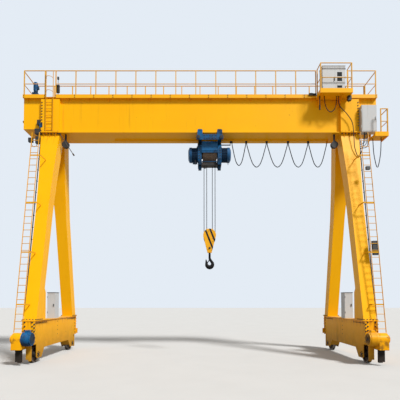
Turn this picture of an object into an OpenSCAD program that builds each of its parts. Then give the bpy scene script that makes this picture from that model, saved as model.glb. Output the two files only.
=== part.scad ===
/* [Runway] */
// Distance between the centre lines of the two rails
gauge = 14000; // [12500:100:15500]
// Distance between the two wheel axles of one end truck
wheel_base = 4200; // [3900:50:4600]

/* [Travel wheels] */
// Running diameter between the flanges
tread_d = 630; // [560:5:660]
// Diameter over the flanges
flange_d = 700; // [680:5:720]
// Width over both flanges
wheel_w = 150; // [130:5:180]
// Thickness of one flange
flange_t = 26; // [20:1:32]
// Diameter of the axle
axle_d = 110; // [80:5:140]

/* [End trucks] */
// Height of the truck's upper face above the rail
truck_top_z = 1740; // [1600:10:1900]
// Height of the truck's lower face between the wheel housings
truck_web_z = 580; // [450:10:700]
// Width of the truck over its side plates
truck_w = 440; // [400:10:520]
// Thickness of the side plates beside a wheel
cheek_t = 22; // [16:1:40]
// Length of the truck beyond an axle
truck_overhang = 460; // [420:10:560]
// Height of the lower edge of the wheel housings
cheek_z = 200; // [150:10:260]
// Distance that a side plate reaches beyond the axle
cheek_out = 170; // [140:10:220]
// Thickness of the truck's upper flange
truck_flange_t = 26; // [16:1:40]
// Width of the upper flange beyond the side plates
truck_lip = 40; // [20:5:60]

/* [Travel drives] */
// Diameter of a travel motor
drive_motor_d = 560; // [420:10:600]
// Length of a travel motor
drive_motor_l = 350; // [250:10:360]
// Height of the motor's axis
drive_z = 1050; // [950:10:1150]
// Width of the gear case
gear_case_w = 380; // [300:10:420]
// Half depth of the gear case
gear_case_r = 250; // [200:10:280]
// Height of the gear case's lower face
gear_case_z = 630; // [560:10:700]

/* [Legs] */
// Width of a leg at the foot, seen from the front
leg_foot_w = 530; // [460:10:600]
// Width of a leg at the shoulder, seen from the front
leg_shoulder_w = 640; // [600:10:700]
// Width of a leg at the head, seen from the front
leg_head_w = 860; // [760:10:880]
// Distance of a leg's outer face from the middle at the foot
leg_foot_y = 2420; // [2200:10:2500]
// Distance of a leg's outer face from the middle at the head
leg_head_y = 620; // [600:10:700]
// Depth of a leg at the foot, seen from the side
leg_foot_depth = 500; // [420:10:560]
// Depth of a leg at the head, seen from the side
leg_head_depth = 590; // [480:10:590]
// Thickness of the foot and head flanges
leg_flange_t = 30; // [20:1:40]

/* [Girder] */
// Length of the girder
girder_l = 16600; // [16400:100:18000]
// Width over the girder's side plates
girder_w = 1030; // [900:10:1100]
// Height of the girder's underside
girder_z = 10450; // [9800:50:11000]
// Height of the girder from its underside to the top of its side plates
girder_h = 1630; // [1500:10:1700]
// Height of the lower face of the end sections above the girder's underside
end_rise = 210; // [150:10:260]
// Thickness of the lower flange
lower_flange_t = 30; // [20:1:36]
// Width of the lower flange beyond each side plate
flange_lip = 95; // [85:5:110]
// Thickness of the upper flange
upper_flange_t = 20; // [12:1:30]
// Width of the upper flange beyond each side plate
upper_lip = 45; // [30:5:60]

/* [Saddles] */
// Width of a saddle, seen from the front
saddle_w = 860; // [800:10:880]
// Distance that a saddle's box stands out from the girder's side plate
saddle_out = 150; // [130:10:180]
// Thickness of the saddle's base plate
saddle_t = 40; // [30:1:50]
// Distance of the base plate's edge from the middle
saddle_base_y = 750; // [730:10:800]

/* [Walkway] */
// Distance of the walkway's edge from the middle
deck_y = 660; // [640:10:760]
// Thickness of the deck
deck_t = 20; // [10:1:30]
// Height of the toe board
toe_h = 160; // [120:10:200]
// Thickness of the toe board
toe_t = 10; // [6:1:16]
// Height of the railing above the deck
rail_h = 1260; // [1000:10:1300]
// Diameter of the top rail
top_rail_d = 42; // [34:1:48]
// Diameter of the middle rail
mid_rail_d = 34; // [26:1:40]
// Width of a square railing post
post_w = 40; // [36:1:50]
// Distance between railing posts, before it is fitted to a run
post_pitch = 930; // [800:10:1100]

/* [Balcony and control cabinet] */
// Length of the balcony
balcony_w = 1470; // [1400:10:1560]
// Distance of the balcony's right end from the rail's centre line
balcony_in = 80; // [0:10:100]
// Distance of the balcony's front edge from the middle
balcony_y = 1250; // [1240:10:1350]
// Distance of the balcony's floor below the walkway
balcony_drop = 80; // [60:5:110]
// Width of the control cabinet
control_w = 1040; // [900:10:1100]
// Depth of the control cabinet
control_depth = 430; // [350:10:440]
// Height of the control cabinet
control_h = 1240; // [1100:10:1300]

/* [End cabinet] */
// Distance of the end cabinet from the saddle
end_cab_gap = 15; // [15:1:30]
// Width of the end cabinet
end_cab_w = 695; // [600:5:700]
// Depth of the end cabinet with its door
end_cab_depth = 330; // [260:10:360]
// Height of the end cabinet
end_cab_h = 1240; // [1000:10:1260]
// Height of the end cabinet's lower face
end_cab_z = 10370; // [10300:10:10400]
// Thickness of the end cabinet's walls
cab_wall = 6; // [4:1:10]
// Thickness of the end cabinet's door
door_t = 22; // [18:1:30]

/* [Landing] */
// Length of the landing beside the girder's end
landing_in = 380; // [360:10:450]
// Length of the landing beyond the girder's end
landing_out = 230; // [150:10:300]
// Distance of the landing's front edge from the middle
landing_y = 1200; // [1100:10:1300]
// Height of the landing's floor
landing_z = 10140; // [10080:10:10200]
// Height of the landing's railing
landing_rail_h = 1150; // [1000:10:1200]

/* [Ladders] */
// Width of a ladder over its stringers
ladder_w = 340; // [300:10:400]
// Distance from one rung to the next
rung_pitch = 300; // [250:10:300]
// Diameter of a rung
rung_d = 26; // [20:1:32]
// Depth of a stringer
stringer_w = 50; // [40:1:70]
// Thickness of a stringer
stringer_t = 14; // [10:1:20]
// Height of a leg ladder's lower end
ladder_foot_z = 1300; // [1280:10:1400]
// Height of a leg ladder's upper end
ladder_head_z = 10130; // [9800:10:10200]
// Distance of a leg ladder's lower end from the middle
ladder_foot_y = 2700; // [2690:10:2760]
// Distance of a leg ladder's upper end from the middle
ladder_head_y = 1320; // [1250:10:1400]

/* [Truck cabinets] */
// Width of a cabinet on an end truck
truck_cab_w = 370; // [300:10:400]
// Depth of a cabinet on an end truck
truck_cab_depth = 460; // [400:10:500]
// Height of a cabinet on an end truck
truck_cab_h = 1200; // [900:10:1300]

/* [Hoist trolley] */
// Place of the hoist along the girder
hoist_x = 460; // [300:10:700]
// Diameter of a trolley wheel
trolley_wheel_d = 130; // [110:5:140]
// Width of a trolley wheel
trolley_wheel_w = 76; // [60:1:80]
// Distance of the trolley wheels from the hoist's middle
trolley_wheel_x = 460; // [440:5:480]
// Thickness of the trolley's side plates
trolley_plate_t = 26; // [18:1:32]
// Height of the trolley's beams
trolley_beam_h = 250; // [200:10:260]
// Distance of the trolley's beams below the girder
trolley_gap = 100; // [90:5:120]
// Half length of the trolley's side plates
trolley_half = 620; // [600:10:680]

/* [Hoist] */
// Distance of the hoist's axis below the girder
hoist_drop = 850; // [830:5:880]
// Inner face of an end frame, from the hoist's middle
end_frame_in = 380; // [370:5:400]
// Thickness of an end frame
end_frame_t = 180; // [160:5:190]
// Depth of an end frame, seen from the side
end_frame_depth = 720; // [680:10:760]
// Radius of the drum over the rope
drum_r = 350; // [300:5:360]
// Diameter of the rope on the drum
drum_rope_d = 24; // [20:1:30]
// Diameter of the drum's shaft
drum_shaft_d = 120; // [90:5:140]
// Diameter of the hoist motor
hoist_motor_d = 710; // [640:10:720]
// Length of the ribbed part of the hoist motor
rib_l = 280; // [240:10:300]
// Length of the smooth end of the hoist motor
cap_l = 180; // [150:10:200]
// Inner radius of the drum's cover
shroud_in = 400; // [385:5:410]
// Thickness of the drum's cover
shroud_t = 24; // [8:1:30]

/* [Hook block] */
// Height of the hook block's axle
block_z = 5570; // [5000:10:6500]
// Radius at which the rope runs on the sheave
sheave_r = 265; // [240:5:270]
// Diameter of the hanging ropes
rope_d = 18; // [14:1:22]
// Distance of the two rear ropes from the middle
rear_rope_x = 135; // [110:5:160]
// Thickness of a side plate of the hook block
block_plate_t = 28; // [20:1:34]
// Space between the side plates of the hook block
block_gap = 110; // [100:2:130]
// Diameter of the hook's shank
shank_d = 64; // [50:2:70]

/* [Cable trolleys] */
// Distance of the fixed clamp from the right rail's centre line
clamp_in = 790; // [780:10:820]
// Distance of the towed cable trolley from the hoist's middle
tow_reach = 1080; // [1060:10:1100]
// Distance of the cable rail behind the girder's middle
cable_rail_y = 200; // [160:10:240]
// Width and height of the cable rail
cable_rail_w = 60; // [54:1:66]
// Diameter of the hoist's cable
cable_d = 40; // [32:1:44]
// Depth of a cable loop
loop_drop = 1180; // [900:10:1250]

/* [Clearances] */
// Radial clearance of a shaft in its bore
running_fit = 0.1; // [0.05:0.01:0.1]
// Gap at which one piece rests beside another
seat_gap = 0.3; // [0.2:0.05:0.5]
// Clearance between a moving piece and its neighbours
motion_gap = 8; // [6:1:14]

/* [Hidden] */
$fn = 48;

yellow = "#f5b000";
blue = "#155a8a";
dark = "#2b2d30";
pale = "#d5d7d6";

rail_x = gauge / 2;
axle_y = wheel_base / 2;
truck_end_y = axle_y + truck_overhang;
flange_r = flange_d / 2;
axle_z = flange_r;
foot_z = truck_top_z + truck_flange_t;
saddle_z = girder_z - saddle_t;
head_z = saddle_z - leg_flange_t;
leg_z = foot_z + leg_flange_t;
web_top_z = girder_z + girder_h;
deck_under_z = web_top_z + upper_flange_t;
deck_z = deck_under_z + deck_t;
end_x = girder_l / 2;
balcony_x1 = rail_x - balcony_in;
balcony_x0 = balcony_x1 - balcony_w;
end_cab_x = rail_x + saddle_w / 2 + end_cab_gap;
landing_x0 = end_x - landing_in;
landing_x1 = end_x + landing_out;
clamp_x = rail_x - clamp_in;
tow_x = hoist_x + tow_reach;
half_web = girder_w / 2;
half_flange = half_web + flange_lip;
flange_top_z = girder_z + lower_flange_t;
end_under_z = girder_z + end_rise;
end_lip = 15;
step_in_x = rail_x + saddle_w / 2 + 10;
step_out_x = step_in_x + 150;
gate_x0 = -rail_x - 240;
gate_x1 = -rail_x + 220;
balcony_z = deck_z - balcony_drop;
hoist_z = girder_z - hoist_drop;
trolley_top_z = girder_z - trolley_gap;
trolley_under_z = trolley_top_z - trolley_beam_h;
trolley_axle_z = flange_top_z + seat_gap + trolley_wheel_d / 2;
trolley_plate_y = half_flange + 2 * motion_gap;
end_frame_out = end_frame_in + end_frame_t;
outlet_z = hoist_z - 550;
outlet_h = 150;
rope_slot_h = 60;
// Distance that the hoist travels to the left of the place where it is drawn
travel_left = 5600;

landing_t = 20;
// Heights at which cables meet the floors of the balcony and the landing
balcony_under_z = balcony_z - deck_t - seat_gap;
landing_under_z = landing_z - landing_t - seat_gap;

// Stations of the cable trolleys between the towed one and the clamp, as shares of that distance
carrier_share = [0, 0.154, 0.368, 0.591, 0.803];
carrier_x = [for (share = carrier_share) tow_x + share * (clamp_x - tow_x)];
// One cable loop: share of the distance between two clamps, and share of the depth
loop_route = [[0, 0], [0, 0.05], [0.09, 0.33], [0.2, 0.64], [0.34, 0.9], [0.5, 1],
    [0.66, 0.9], [0.8, 0.64], [0.91, 0.33], [1, 0.05], [1, 0]];
// Cables that hang in short loops from the balcony, the end cabinet and the landing
balcony_cable = [[5740, -900, balcony_under_z], [5740, -900, 11920], [5780, -900, 11600], [5890, -900, 11360],
    [6030, -900, 11280], [6170, -900, 11370], [6270, -900, 11610], [6310, -900, 11920],
    [6310, -900, balcony_under_z]];
cabinet_cable = [[6400, -900, balcony_under_z], [6400, -900, 11900], [6450, -860, 11600], [6800, -800, 11250],
    [7050, -790, 10850], [7100, -830, 10200], [7120, -880, 9600], [7280, -900, 9180], [7480, -860, 9600],
    [7600, -780, 10250], [7600, -780, end_cab_z - seat_gap]];
landing_cable = [[7980, -820, landing_under_z], [7980, -820, 10020], [8030, -820, 9250], [8170, -820, 8720],
    [8310, -820, 9250], [8360, -820, 10020], [8360, -820, landing_under_z]];
cable_routes = [balcony_cable, cabinet_cable, landing_cable];
// The hook's middle line below its bearing, with the bar's radius
hook_route = [[0, -330, 46], [0, -390, 50], [18, -470, 52], [70, -560, 50], [130, -625, 52], [150, -700, 55],
    [130, -775, 57], [75, -830, 58], [0, -850, 56], [-75, -830, 52], [-130, -775, 46], [-150, -700, 40],
    [-150, -645, 34], [-160, -600, 26], [-174, -560, 14]];

function unit(v) = v / norm(v);
function route_way(route, i) =
    unit(route[min(i + 1, len(route) - 1)] - route[max(i - 1, 0)]);
function ring(centre, way, r, sides) =
    let (across = unit(cross(way, [0, 1, 0])), beside = cross(way, across))
    [for (k = [0:sides - 1]) centre + r * (cos(360 * k / sides) * across + sin(360 * k / sides) * beside)];
function loop_points(x0, x1, y, z, drop) =
    [for (p = loop_route) [x0 + p[0] * (x1 - x0), y, z - p[1] * drop]];

// A tube that follows a route
module tube(route, d, sides = 8) {
    tapered_bar(route, [for (p = route) d / 2], sides);
}

// A round bar that follows a route, with a radius for each point
module tapered_bar(route, radii, sides = 12) {
    rings = [for (i = [0:len(route) - 1]) ring(route[i], route_way(route, i), radii[i], sides)];
    points = [for (r = rings) each r];
    last = (len(route) - 1) * sides;
    skin = [for (i = [0:len(route) - 2], k = [0:sides - 1])
        [(i + 1) * sides + k, (i + 1) * sides + (k + 1) % sides, i * sides + (k + 1) % sides, i * sides + k]];
    start = [[for (k = [0:sides - 1]) k]];
    end = [[for (k = [sides - 1:-1:0]) last + k]];
    polyhedron(points, concat(skin, start, end));
}

module slab(lo, hi) {
    translate(lo) cube(hi - lo);
}

module rod_x(x0, x1, y, z, d) {
    translate([x0, y, z]) rotate([0, 90, 0]) cylinder(h = x1 - x0, d = d);
}

module rod_y(x, y0, y1, z, d) {
    translate([x, y1, z]) rotate([90, 0, 0]) cylinder(h = y1 - y0, d = d);
}

// An outline drawn in Y and Z, extruded along X
module along_x(x0, x1) {
    translate([x0, 0, 0]) rotate([90, 0, 90]) linear_extrude(x1 - x0) children();
}

// An outline drawn in X and Z, extruded along Y
module along_y(y0, y1) {
    translate([0, y1, 0]) rotate([90, 0, 0]) linear_extrude(y1 - y0) children();
}

module on_side(side) {
    mirror([side < 0 ? 1 : 0, 0, 0]) children();
}

// A box section truck with an open housing for a wheel at each end
module truck(side) {
    pocket_r = flange_r + 60;
    pocket_z = flange_d + 60;
    nose_z = pocket_z + 30;
    half_w = truck_w / 2;
    cheek_y = axle_y + cheek_out;
    half_outline = [[truck_end_y, truck_top_z], [truck_end_y, nose_z], [cheek_y, nose_z],
        [cheek_y, cheek_z + 60], [cheek_y - 60, cheek_z], [axle_y - 330, cheek_z], [axle_y - 620, truck_web_z]];
    mirrored = [for (i = [len(half_outline) - 1:-1:0]) [-half_outline[i][0], half_outline[i][1]]];
    buffer_z = truck_web_z + 340;
    beam_t = 60;
    end_plate_t = 24;
    sweep_z = 200;
    color(yellow) on_side(side) translate([rail_x, 0, 0]) difference() {
        union() {
            along_x(-half_w, half_w) polygon(concat(half_outline, mirrored));
            for (end = [-1, 1]) mirror([0, end > 0 ? 0 : 1, 0]) {
                slab([-half_w - truck_lip, truck_end_y - end_plate_t, nose_z],
                    [half_w + truck_lip, truck_end_y, truck_top_z]);
                slab([-60, truck_end_y, sweep_z], [45, truck_end_y + 100, nose_z + 50]);
                slab([-150, truck_end_y, sweep_z - 60], [-60, truck_end_y + 100, nose_z - 30]);
            }
            slab([-half_w - 110, truck_end_y, nose_z + 50], [half_w + 30, truck_end_y + beam_t, nose_z + 310]);
            slab([-half_w - truck_lip, -truck_end_y - 20, truck_top_z],
                [half_w + truck_lip, truck_end_y + 20, foot_z]);
            rod_y(0, truck_end_y + beam_t, truck_end_y + beam_t + 80, buffer_z, 150);
        }
        for (end = [-1, 1]) {
            mirror([0, end < 0 ? 0 : 1, 0])
                slab([-half_w + cheek_t, -truck_end_y - 1, cheek_z - 1],
                    [half_w - cheek_t, -axle_y + pocket_r, pocket_z]);
            rod_x(-half_w - 1, half_w + 1, end * axle_y, axle_z, axle_d + 2 * running_fit);
        }
    }
}

// A rail wheel with two flanges and its axle
module travel_wheel(side, end) {
    tread_r = tread_d / 2;
    half_tread = wheel_w / 2 - flange_t;
    hub_r = axle_d;
    half_hub = truck_w / 2 - cheek_t - motion_gap;
    half_web_t = 22;
    rim_r = tread_r - 55;
    outline = [[0, half_hub], [hub_r, half_hub], [hub_r + 15, half_web_t], [rim_r, half_web_t],
        [rim_r + 12, wheel_w / 2], [flange_r, wheel_w / 2], [flange_r, half_tread + 10], [tread_r, half_tread]];
    mirrored = [for (i = [len(outline) - 1:-1:0]) [outline[i][0], -outline[i][1]]];
    color("#5a4a3c") translate([side * rail_x, end * axle_y, axle_z]) rotate([0, 90, 0]) {
        rotate_extrude() polygon(concat(outline, mirrored));
        cylinder(h = truck_w + 50, d = axle_d, center = true);
    }
}

drive_y = -truck_end_y - drive_motor_d / 2 - 20;

// A motor that lies across the truck's front end, on a bracket
module travel_motor(side) {
    x1 = rail_x + 55;
    x0 = x1 - drive_motor_l;
    color(side < 0 ? blue : "#e8a200") on_side(side) {
        rod_x(x0 + 50, x1, drive_y, drive_z, drive_motor_d);
        rod_x(x0, x0 + 50, drive_y, drive_z, drive_motor_d - 50);
        slab([x0 + 90, drive_y, drive_z - 200], [x1 - 40, -truck_end_y, drive_z + 200]);
    }
}

// The gear case beside the motor, with the sweep that hangs below it
module gear_case(side) {
    x0 = rail_x + 55;
    x1 = x0 + gear_case_w;
    sweep_z = 120;
    color(yellow) on_side(side) {
        along_x(x0, x1) union() {
            translate([drive_y, drive_z]) circle(r = gear_case_r);
            translate([drive_y - gear_case_r, gear_case_z])
                square([2 * gear_case_r, drive_z - gear_case_z]);
        }
        slab([x0, drive_y, drive_z - 180], [x0 + 100, -truck_end_y, drive_z + 120]);
        rod_x(x1, x1 + 90, drive_y, drive_z, 2 * gear_case_r - 180);
        slab([x0 + 55, drive_y - 60, sweep_z], [x0 + 205, drive_y + 60, gear_case_z]);
        slab([x0 + 205, drive_y - 60, sweep_z + 30], [x0 + 295, drive_y + 60, gear_case_z]);
    }
}

// A leg that leans inward and widens towards its head
module leg(side, end) {
    shoulder_z = foot_z + 0.76 * (head_z - foot_z);
    knee_z = foot_z + 0.58 * (head_z - foot_z);
    half_foot = leg_foot_w / 2;
    half_knee = half_foot + 8;
    half_shoulder = leg_shoulder_w / 2;
    half_head = leg_head_w / 2;
    back_y = -leg_foot_y + leg_foot_depth;
    gusset_l = end < 0 ? 560 : 0;
    gusset_h = 1480;
    color(yellow) on_side(side) mirror([0, end > 0 ? 1 : 0, 0]) translate([rail_x, 0, 0]) {
        intersection() {
            along_y(-leg_foot_y - 10, 0) polygon([
                [-half_foot, leg_z], [half_foot, leg_z], [half_knee, knee_z], [half_shoulder, shoulder_z],
                [half_head, head_z], [-half_head, head_z], [-half_shoulder, shoulder_z], [-half_knee, knee_z]]);
            along_x(-half_head, half_head) polygon([
                [-leg_foot_y, leg_z], [-leg_foot_y + leg_foot_depth, leg_z],
                [-leg_head_y + leg_head_depth, head_z], [-leg_head_y, head_z]]);
        }
        slab([-half_foot - 65, -leg_foot_y - 70, foot_z],
            [half_foot + 65, back_y + gusset_l + 70, leg_z]);
        slab([-half_head - 15, -leg_head_y - 90, head_z], [half_head + 15, -5, saddle_z]);
        for (x = [-0.62, 0, 0.62] * half_head)
            fin(x) polygon([[-leg_head_y - 80, head_z], [-leg_head_y + 60, head_z],
                [-leg_head_y - 20, head_z - 330]]);
        if (end < 0)
            along_x(-half_foot + 60, half_foot - 60) polygon([
                [back_y - 40, leg_z], [back_y + gusset_l, leg_z], [back_y + gusset_l, leg_z + 0.78 * gusset_h],
                [back_y + 0.62 * gusset_l, leg_z + gusset_h], [back_y + 0.5 * gusset_l, leg_z + gusset_h]]);
    }
}

// A thin fin across X
module fin(x) {
    fin_t = 14;
    along_x(x - fin_t / 2, x + fin_t / 2) children();
}

// The box that the girder rests in on each pair of legs
module saddle(side) {
    half_w = saddle_w / 2;
    color(yellow) on_side(side) translate([rail_x, 0, 0]) difference() {
        union() {
            slab([-half_w - 15, -saddle_base_y, saddle_z], [half_w + 15, saddle_base_y, girder_z]);
            for (end = [-1, 1])
                slab([-half_w, end < 0 ? -half_web - saddle_out : half_web, girder_z],
                    [half_w, end < 0 ? -half_web : half_web + saddle_out, web_top_z - 70]);
        }
        slab([-half_w - 20, -half_flange, girder_z], [half_w + 20, half_flange, flange_top_z]);
    }
}

// The box girder with shallower ends and its upper flange
module girder() {
    color(yellow) {
        along_y(-half_web, half_web) polygon([
            [-end_x, end_under_z], [-step_out_x, end_under_z], [-step_in_x, flange_top_z],
            [step_in_x, flange_top_z], [step_out_x, end_under_z], [end_x, end_under_z],
            [end_x, web_top_z], [-end_x, web_top_z]]);
        slab([-end_x, -half_web - upper_lip, web_top_z], [end_x, half_web + upper_lip, deck_under_z]);
        for (side = [-1, 1]) on_side(side)
            slab([step_out_x, -half_web - end_lip, end_under_z - 20],
                [end_x, half_web + end_lip, end_under_z]);
    }
}

// The lower flange, on whose lips the trolley runs
module lower_flange() {
    color(yellow) slab([-step_in_x, -half_flange, girder_z], [step_in_x, half_flange, flange_top_z]);
}

// The chequer plate deck with its toe boards
module walkway_deck() {
    toe_z = deck_z - 40;
    color(yellow) {
        slab([-end_x, -deck_y, deck_under_z], [end_x, deck_y, deck_z]);
        slab([-end_x, deck_y - toe_t, toe_z - 10], [end_x, deck_y, toe_z + toe_h]);
        for (run = [[-end_x, gate_x0], [gate_x1, balcony_x0], [balcony_x1, end_x]])
            slab([run[0], -deck_y, toe_z - 10], [run[1], -deck_y + toe_t, toe_z + toe_h]);
        for (side = [-1, 1]) on_side(side)
            slab([end_x - toe_t, -deck_y, deck_under_z], [end_x, deck_y, toe_z + toe_h]);
    }
}

// Posts with two rails, along X from the origin
module railing_run(length, height, pitch = post_pitch) {
    bays = max(1, round((length - post_w) / pitch));
    step = (length - post_w) / bays;
    for (i = [0:bays])
        translate([i * step, -post_w / 2, 0]) cube([post_w, post_w, height]);
    rod_x(0, length, 0, height, top_rail_d);
    rod_x(0, length, 0, height * 0.5, mid_rail_d);
}

rail_line_y = deck_y - toe_t - post_w / 2;

module railing_front() {
    color(yellow) {
        for (run = [[-end_x + post_w, gate_x0], [gate_x1, balcony_x0], [balcony_x1, end_x - post_w]])
            translate([run[0], -rail_line_y, deck_z]) railing_run(run[1] - run[0], rail_h);
        rod_x(gate_x0, gate_x1, -rail_line_y, deck_z + rail_h, top_rail_d);
    }
}

module railing_back() {
    color(yellow) translate([-end_x + post_w, rail_line_y, deck_z]) railing_run(2 * (end_x - post_w), rail_h);
}

module railing_ends() {
    inner = 2 * (rail_line_y - post_w);
    color(yellow) for (side = [-1, 1])
        translate([side * (end_x - toe_t - post_w / 2), -inner / 2, deck_z])
            rotate([0, 0, 90]) railing_run(inner, rail_h);
}

// A platform in front of the walkway that carries the control cabinet
module balcony() {
    floor_z = balcony_z - deck_t;
    side_end_y = max(deck_y, half_web + saddle_out) + 1;
    color(yellow) {
        slab([balcony_x0, -balcony_y, floor_z], [balcony_x1, -half_web - upper_lip, balcony_z]);
        slab([balcony_x0, -balcony_y, floor_z - 20], [balcony_x1, -balcony_y + toe_t, balcony_z + toe_h]);
        for (x = [balcony_x0, balcony_x1 - toe_t])
            slab([x, -balcony_y, floor_z - 20], [x + toe_t, -side_end_y, balcony_z + toe_h]);
        for (x = [balcony_x0 + 100, rail_x - saddle_w / 2 - 60])
            along_x(x, x + 14) polygon([[-balcony_y + 60, floor_z], [-half_web - upper_lip, floor_z],
                [-half_web - upper_lip, web_top_z], [-half_web, web_top_z], [-half_web, web_top_z - 420],
                [-half_web - 60, web_top_z - 420]]);
    }
}

module balcony_railing() {
    line_y = balcony_y - toe_t - post_w / 2;
    side_l = balcony_y - deck_y - toe_t - post_w;
    color(yellow) {
        translate([balcony_x0 + toe_t, -line_y, balcony_z])
            railing_run(balcony_x1 - balcony_x0 - 2 * toe_t, rail_h + balcony_drop, 1400);
        for (x = [balcony_x0 + toe_t + post_w / 2, balcony_x1 - toe_t - post_w / 2])
            translate([x, -line_y, balcony_z])
                rotate([0, 0, 90]) railing_run(side_l, rail_h + balcony_drop, 1400);
    }
}

// A steel cabinet with two doors, louvres and instrument windows
module control_cabinet() {
    x0 = balcony_x0 + 150;
    front_y = -deck_y - 5 - control_depth;
    foot_h = 40;
    z0 = balcony_z + foot_h;
    z1 = z0 + control_h;
    split_x = x0 + 0.55 * control_w;
    window_w = 225;
    // Share of the cabinet's height at which a window starts, and its own height
    windows = [[0.61, 200], [0.43, 160], [0.18, 110]];
    color(pale) difference() {
        union() {
            slab([x0, front_y, z0], [x0 + control_w, front_y + control_depth, z1]);
            slab([x0 + 20, front_y + 20, balcony_z], [x0 + control_w - 20, front_y + control_depth - 20, z0]);
            slab([x0 - 15, front_y - 15, z1], [x0 + control_w + 15, front_y + control_depth, z1 + 20]);
        }
        slab([split_x - 4, front_y - 1, z0 + 20], [split_x + 4, front_y + 6, z1 - 20]);
        for (i = [0:9])
            slab([x0 - 1, front_y + 90, z0 + 300 + 70 * i], [x0 + 8, front_y + control_depth - 90, z0 + 330 + 70 * i]);
        for (window = windows)
            slab([split_x + 95, front_y - 1, z0 + window[0] * control_h],
                [split_x + 95 + window_w, front_y + 8, z0 + window[0] * control_h + window[1]]);
    }
}

end_cab_y1 = -half_web - upper_lip;
end_cab_y0 = end_cab_y1 - end_cab_depth;
door_y0 = end_cab_y0;
door_y1 = door_y0 + door_t;
cab_front_y = door_y1 + 6;
end_cab_x1 = end_cab_x + end_cab_w;
end_cab_top = end_cab_z + end_cab_h;
hinge_d = 24;
hinge_x = end_cab_x - hinge_d / 2;
hinge_y = door_y0 + door_t / 2;
hinge_zs = [end_cab_z + 180, end_cab_top - 300];
pin_d = 12;
knuckle_h = 60;

// The cabinet's open box, its back straps and the lower halves of its hinges
module end_cabinet() {
    color(pale) {
        difference() {
            slab([end_cab_x, cab_front_y, end_cab_z], [end_cab_x1, end_cab_y1, end_cab_top]);
            slab([end_cab_x + cab_wall, cab_front_y - 1, end_cab_z + cab_wall],
                [end_cab_x1 - cab_wall, end_cab_y1 - cab_wall, end_cab_top - cab_wall]);
        }
        slab([end_cab_x + 60, end_cab_y1 - cab_wall - 30, end_cab_z + 80],
            [end_cab_x1 - 60, end_cab_y1 - cab_wall, end_cab_top - 80]);
        for (z = [end_under_z + 60, end_cab_top - 120])
            slab([end_cab_x + 40, end_cab_y1, z], [end_cab_x1 - 40, -half_web, z + 60]);
        for (z = hinge_zs) {
            translate([hinge_x, hinge_y, z]) cylinder(h = knuckle_h, d = hinge_d);
            translate([hinge_x, hinge_y, z]) cylinder(h = 2 * knuckle_h + 10, d = pin_d);
            slab([hinge_x - 6, hinge_y, z], [hinge_x + 6, cab_front_y + 60, z + knuckle_h]);
            slab([hinge_x - 6, cab_front_y + 20, z], [end_cab_x, cab_front_y + 60, z + knuckle_h]);
        }
    }
}

// The door with the upper halves of its hinges, and its handle
module end_cabinet_door() {
    color(pale) {
        difference() {
            union() {
                slab([end_cab_x + 6, door_y0, end_cab_z], [end_cab_x1, door_y1, end_cab_top]);
                for (z = hinge_zs) {
                    translate([hinge_x, hinge_y, z + knuckle_h + 1]) cylinder(h = knuckle_h, d = hinge_d);
                    slab([hinge_x, hinge_y - 5, z + knuckle_h + 1], [end_cab_x + 10, hinge_y + 5, z + 2 * knuckle_h + 1]);
                }
            }
            for (z = hinge_zs)
                translate([hinge_x, hinge_y, z]) cylinder(h = 3 * knuckle_h, d = pin_d + 2 * running_fit);
        }
        slab([end_cab_x1 - 60, door_y0 - 20, end_cab_z + 0.5 * end_cab_h - 70],
            [end_cab_x1 - 30, door_y0, end_cab_z + 0.5 * end_cab_h + 70]);
    }
}

// A small platform at the girder's right end, on two hangers
module landing() {
    y1 = -half_web + 60;
    color(yellow) {
        slab([landing_x0, -landing_y, landing_z - landing_t], [landing_x1, y1, landing_z]);
        slab([landing_x0, -landing_y, landing_z - 110], [landing_x1, -landing_y + toe_t, landing_z + 90]);
        for (x = [landing_x0, landing_x1 - toe_t])
            slab([x, -landing_y, landing_z - 110], [x + toe_t, y1, landing_z + 20]);
        for (x = [end_x - 340, end_x - 80])
            slab([x, -half_web - upper_lip, landing_z], [x + 60, y1, end_under_z - 20]);
    }
}

module landing_railing() {
    line_y = landing_y - toe_t - post_w / 2;
    side_l = landing_y - half_web - upper_lip;
    color(yellow) {
        translate([end_cab_x1 + 30, -line_y, landing_z])
            railing_run(landing_x1 - toe_t - end_cab_x1 - 30, landing_rail_h);
        translate([landing_x1 - toe_t - post_w / 2, -line_y, landing_z])
            rotate([0, 0, 90]) railing_run(side_l, landing_rail_h);
    }
}

// Two stringers with rungs, upright from the origin, with bare stringers above as handrails
module ladder(length, handrail = 0) {
    rungs = floor((length - handrail) / rung_pitch);
    for (x = [0, ladder_w - stringer_t])
        translate([x, -stringer_w / 2, 0]) cube([stringer_t, stringer_w, length]);
    for (i = [0:rungs - 1])
        rod_x(stringer_t / 2, ladder_w - stringer_t / 2, 0, rung_pitch * (i + 0.5), rung_d);
}

ladder_rise = ladder_head_z - ladder_foot_z;
ladder_run = ladder_foot_y - ladder_head_y;
ladder_tilt = atan(ladder_run / ladder_rise);
ladder_x0 = rail_x + 190;

function ladder_y(z) = -ladder_foot_y + (z - ladder_foot_z) * ladder_run / ladder_rise;
function leg_face_y(z) =
    -leg_foot_y + (z - leg_z) * (leg_foot_y - leg_head_y) / (head_z - leg_z);

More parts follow.
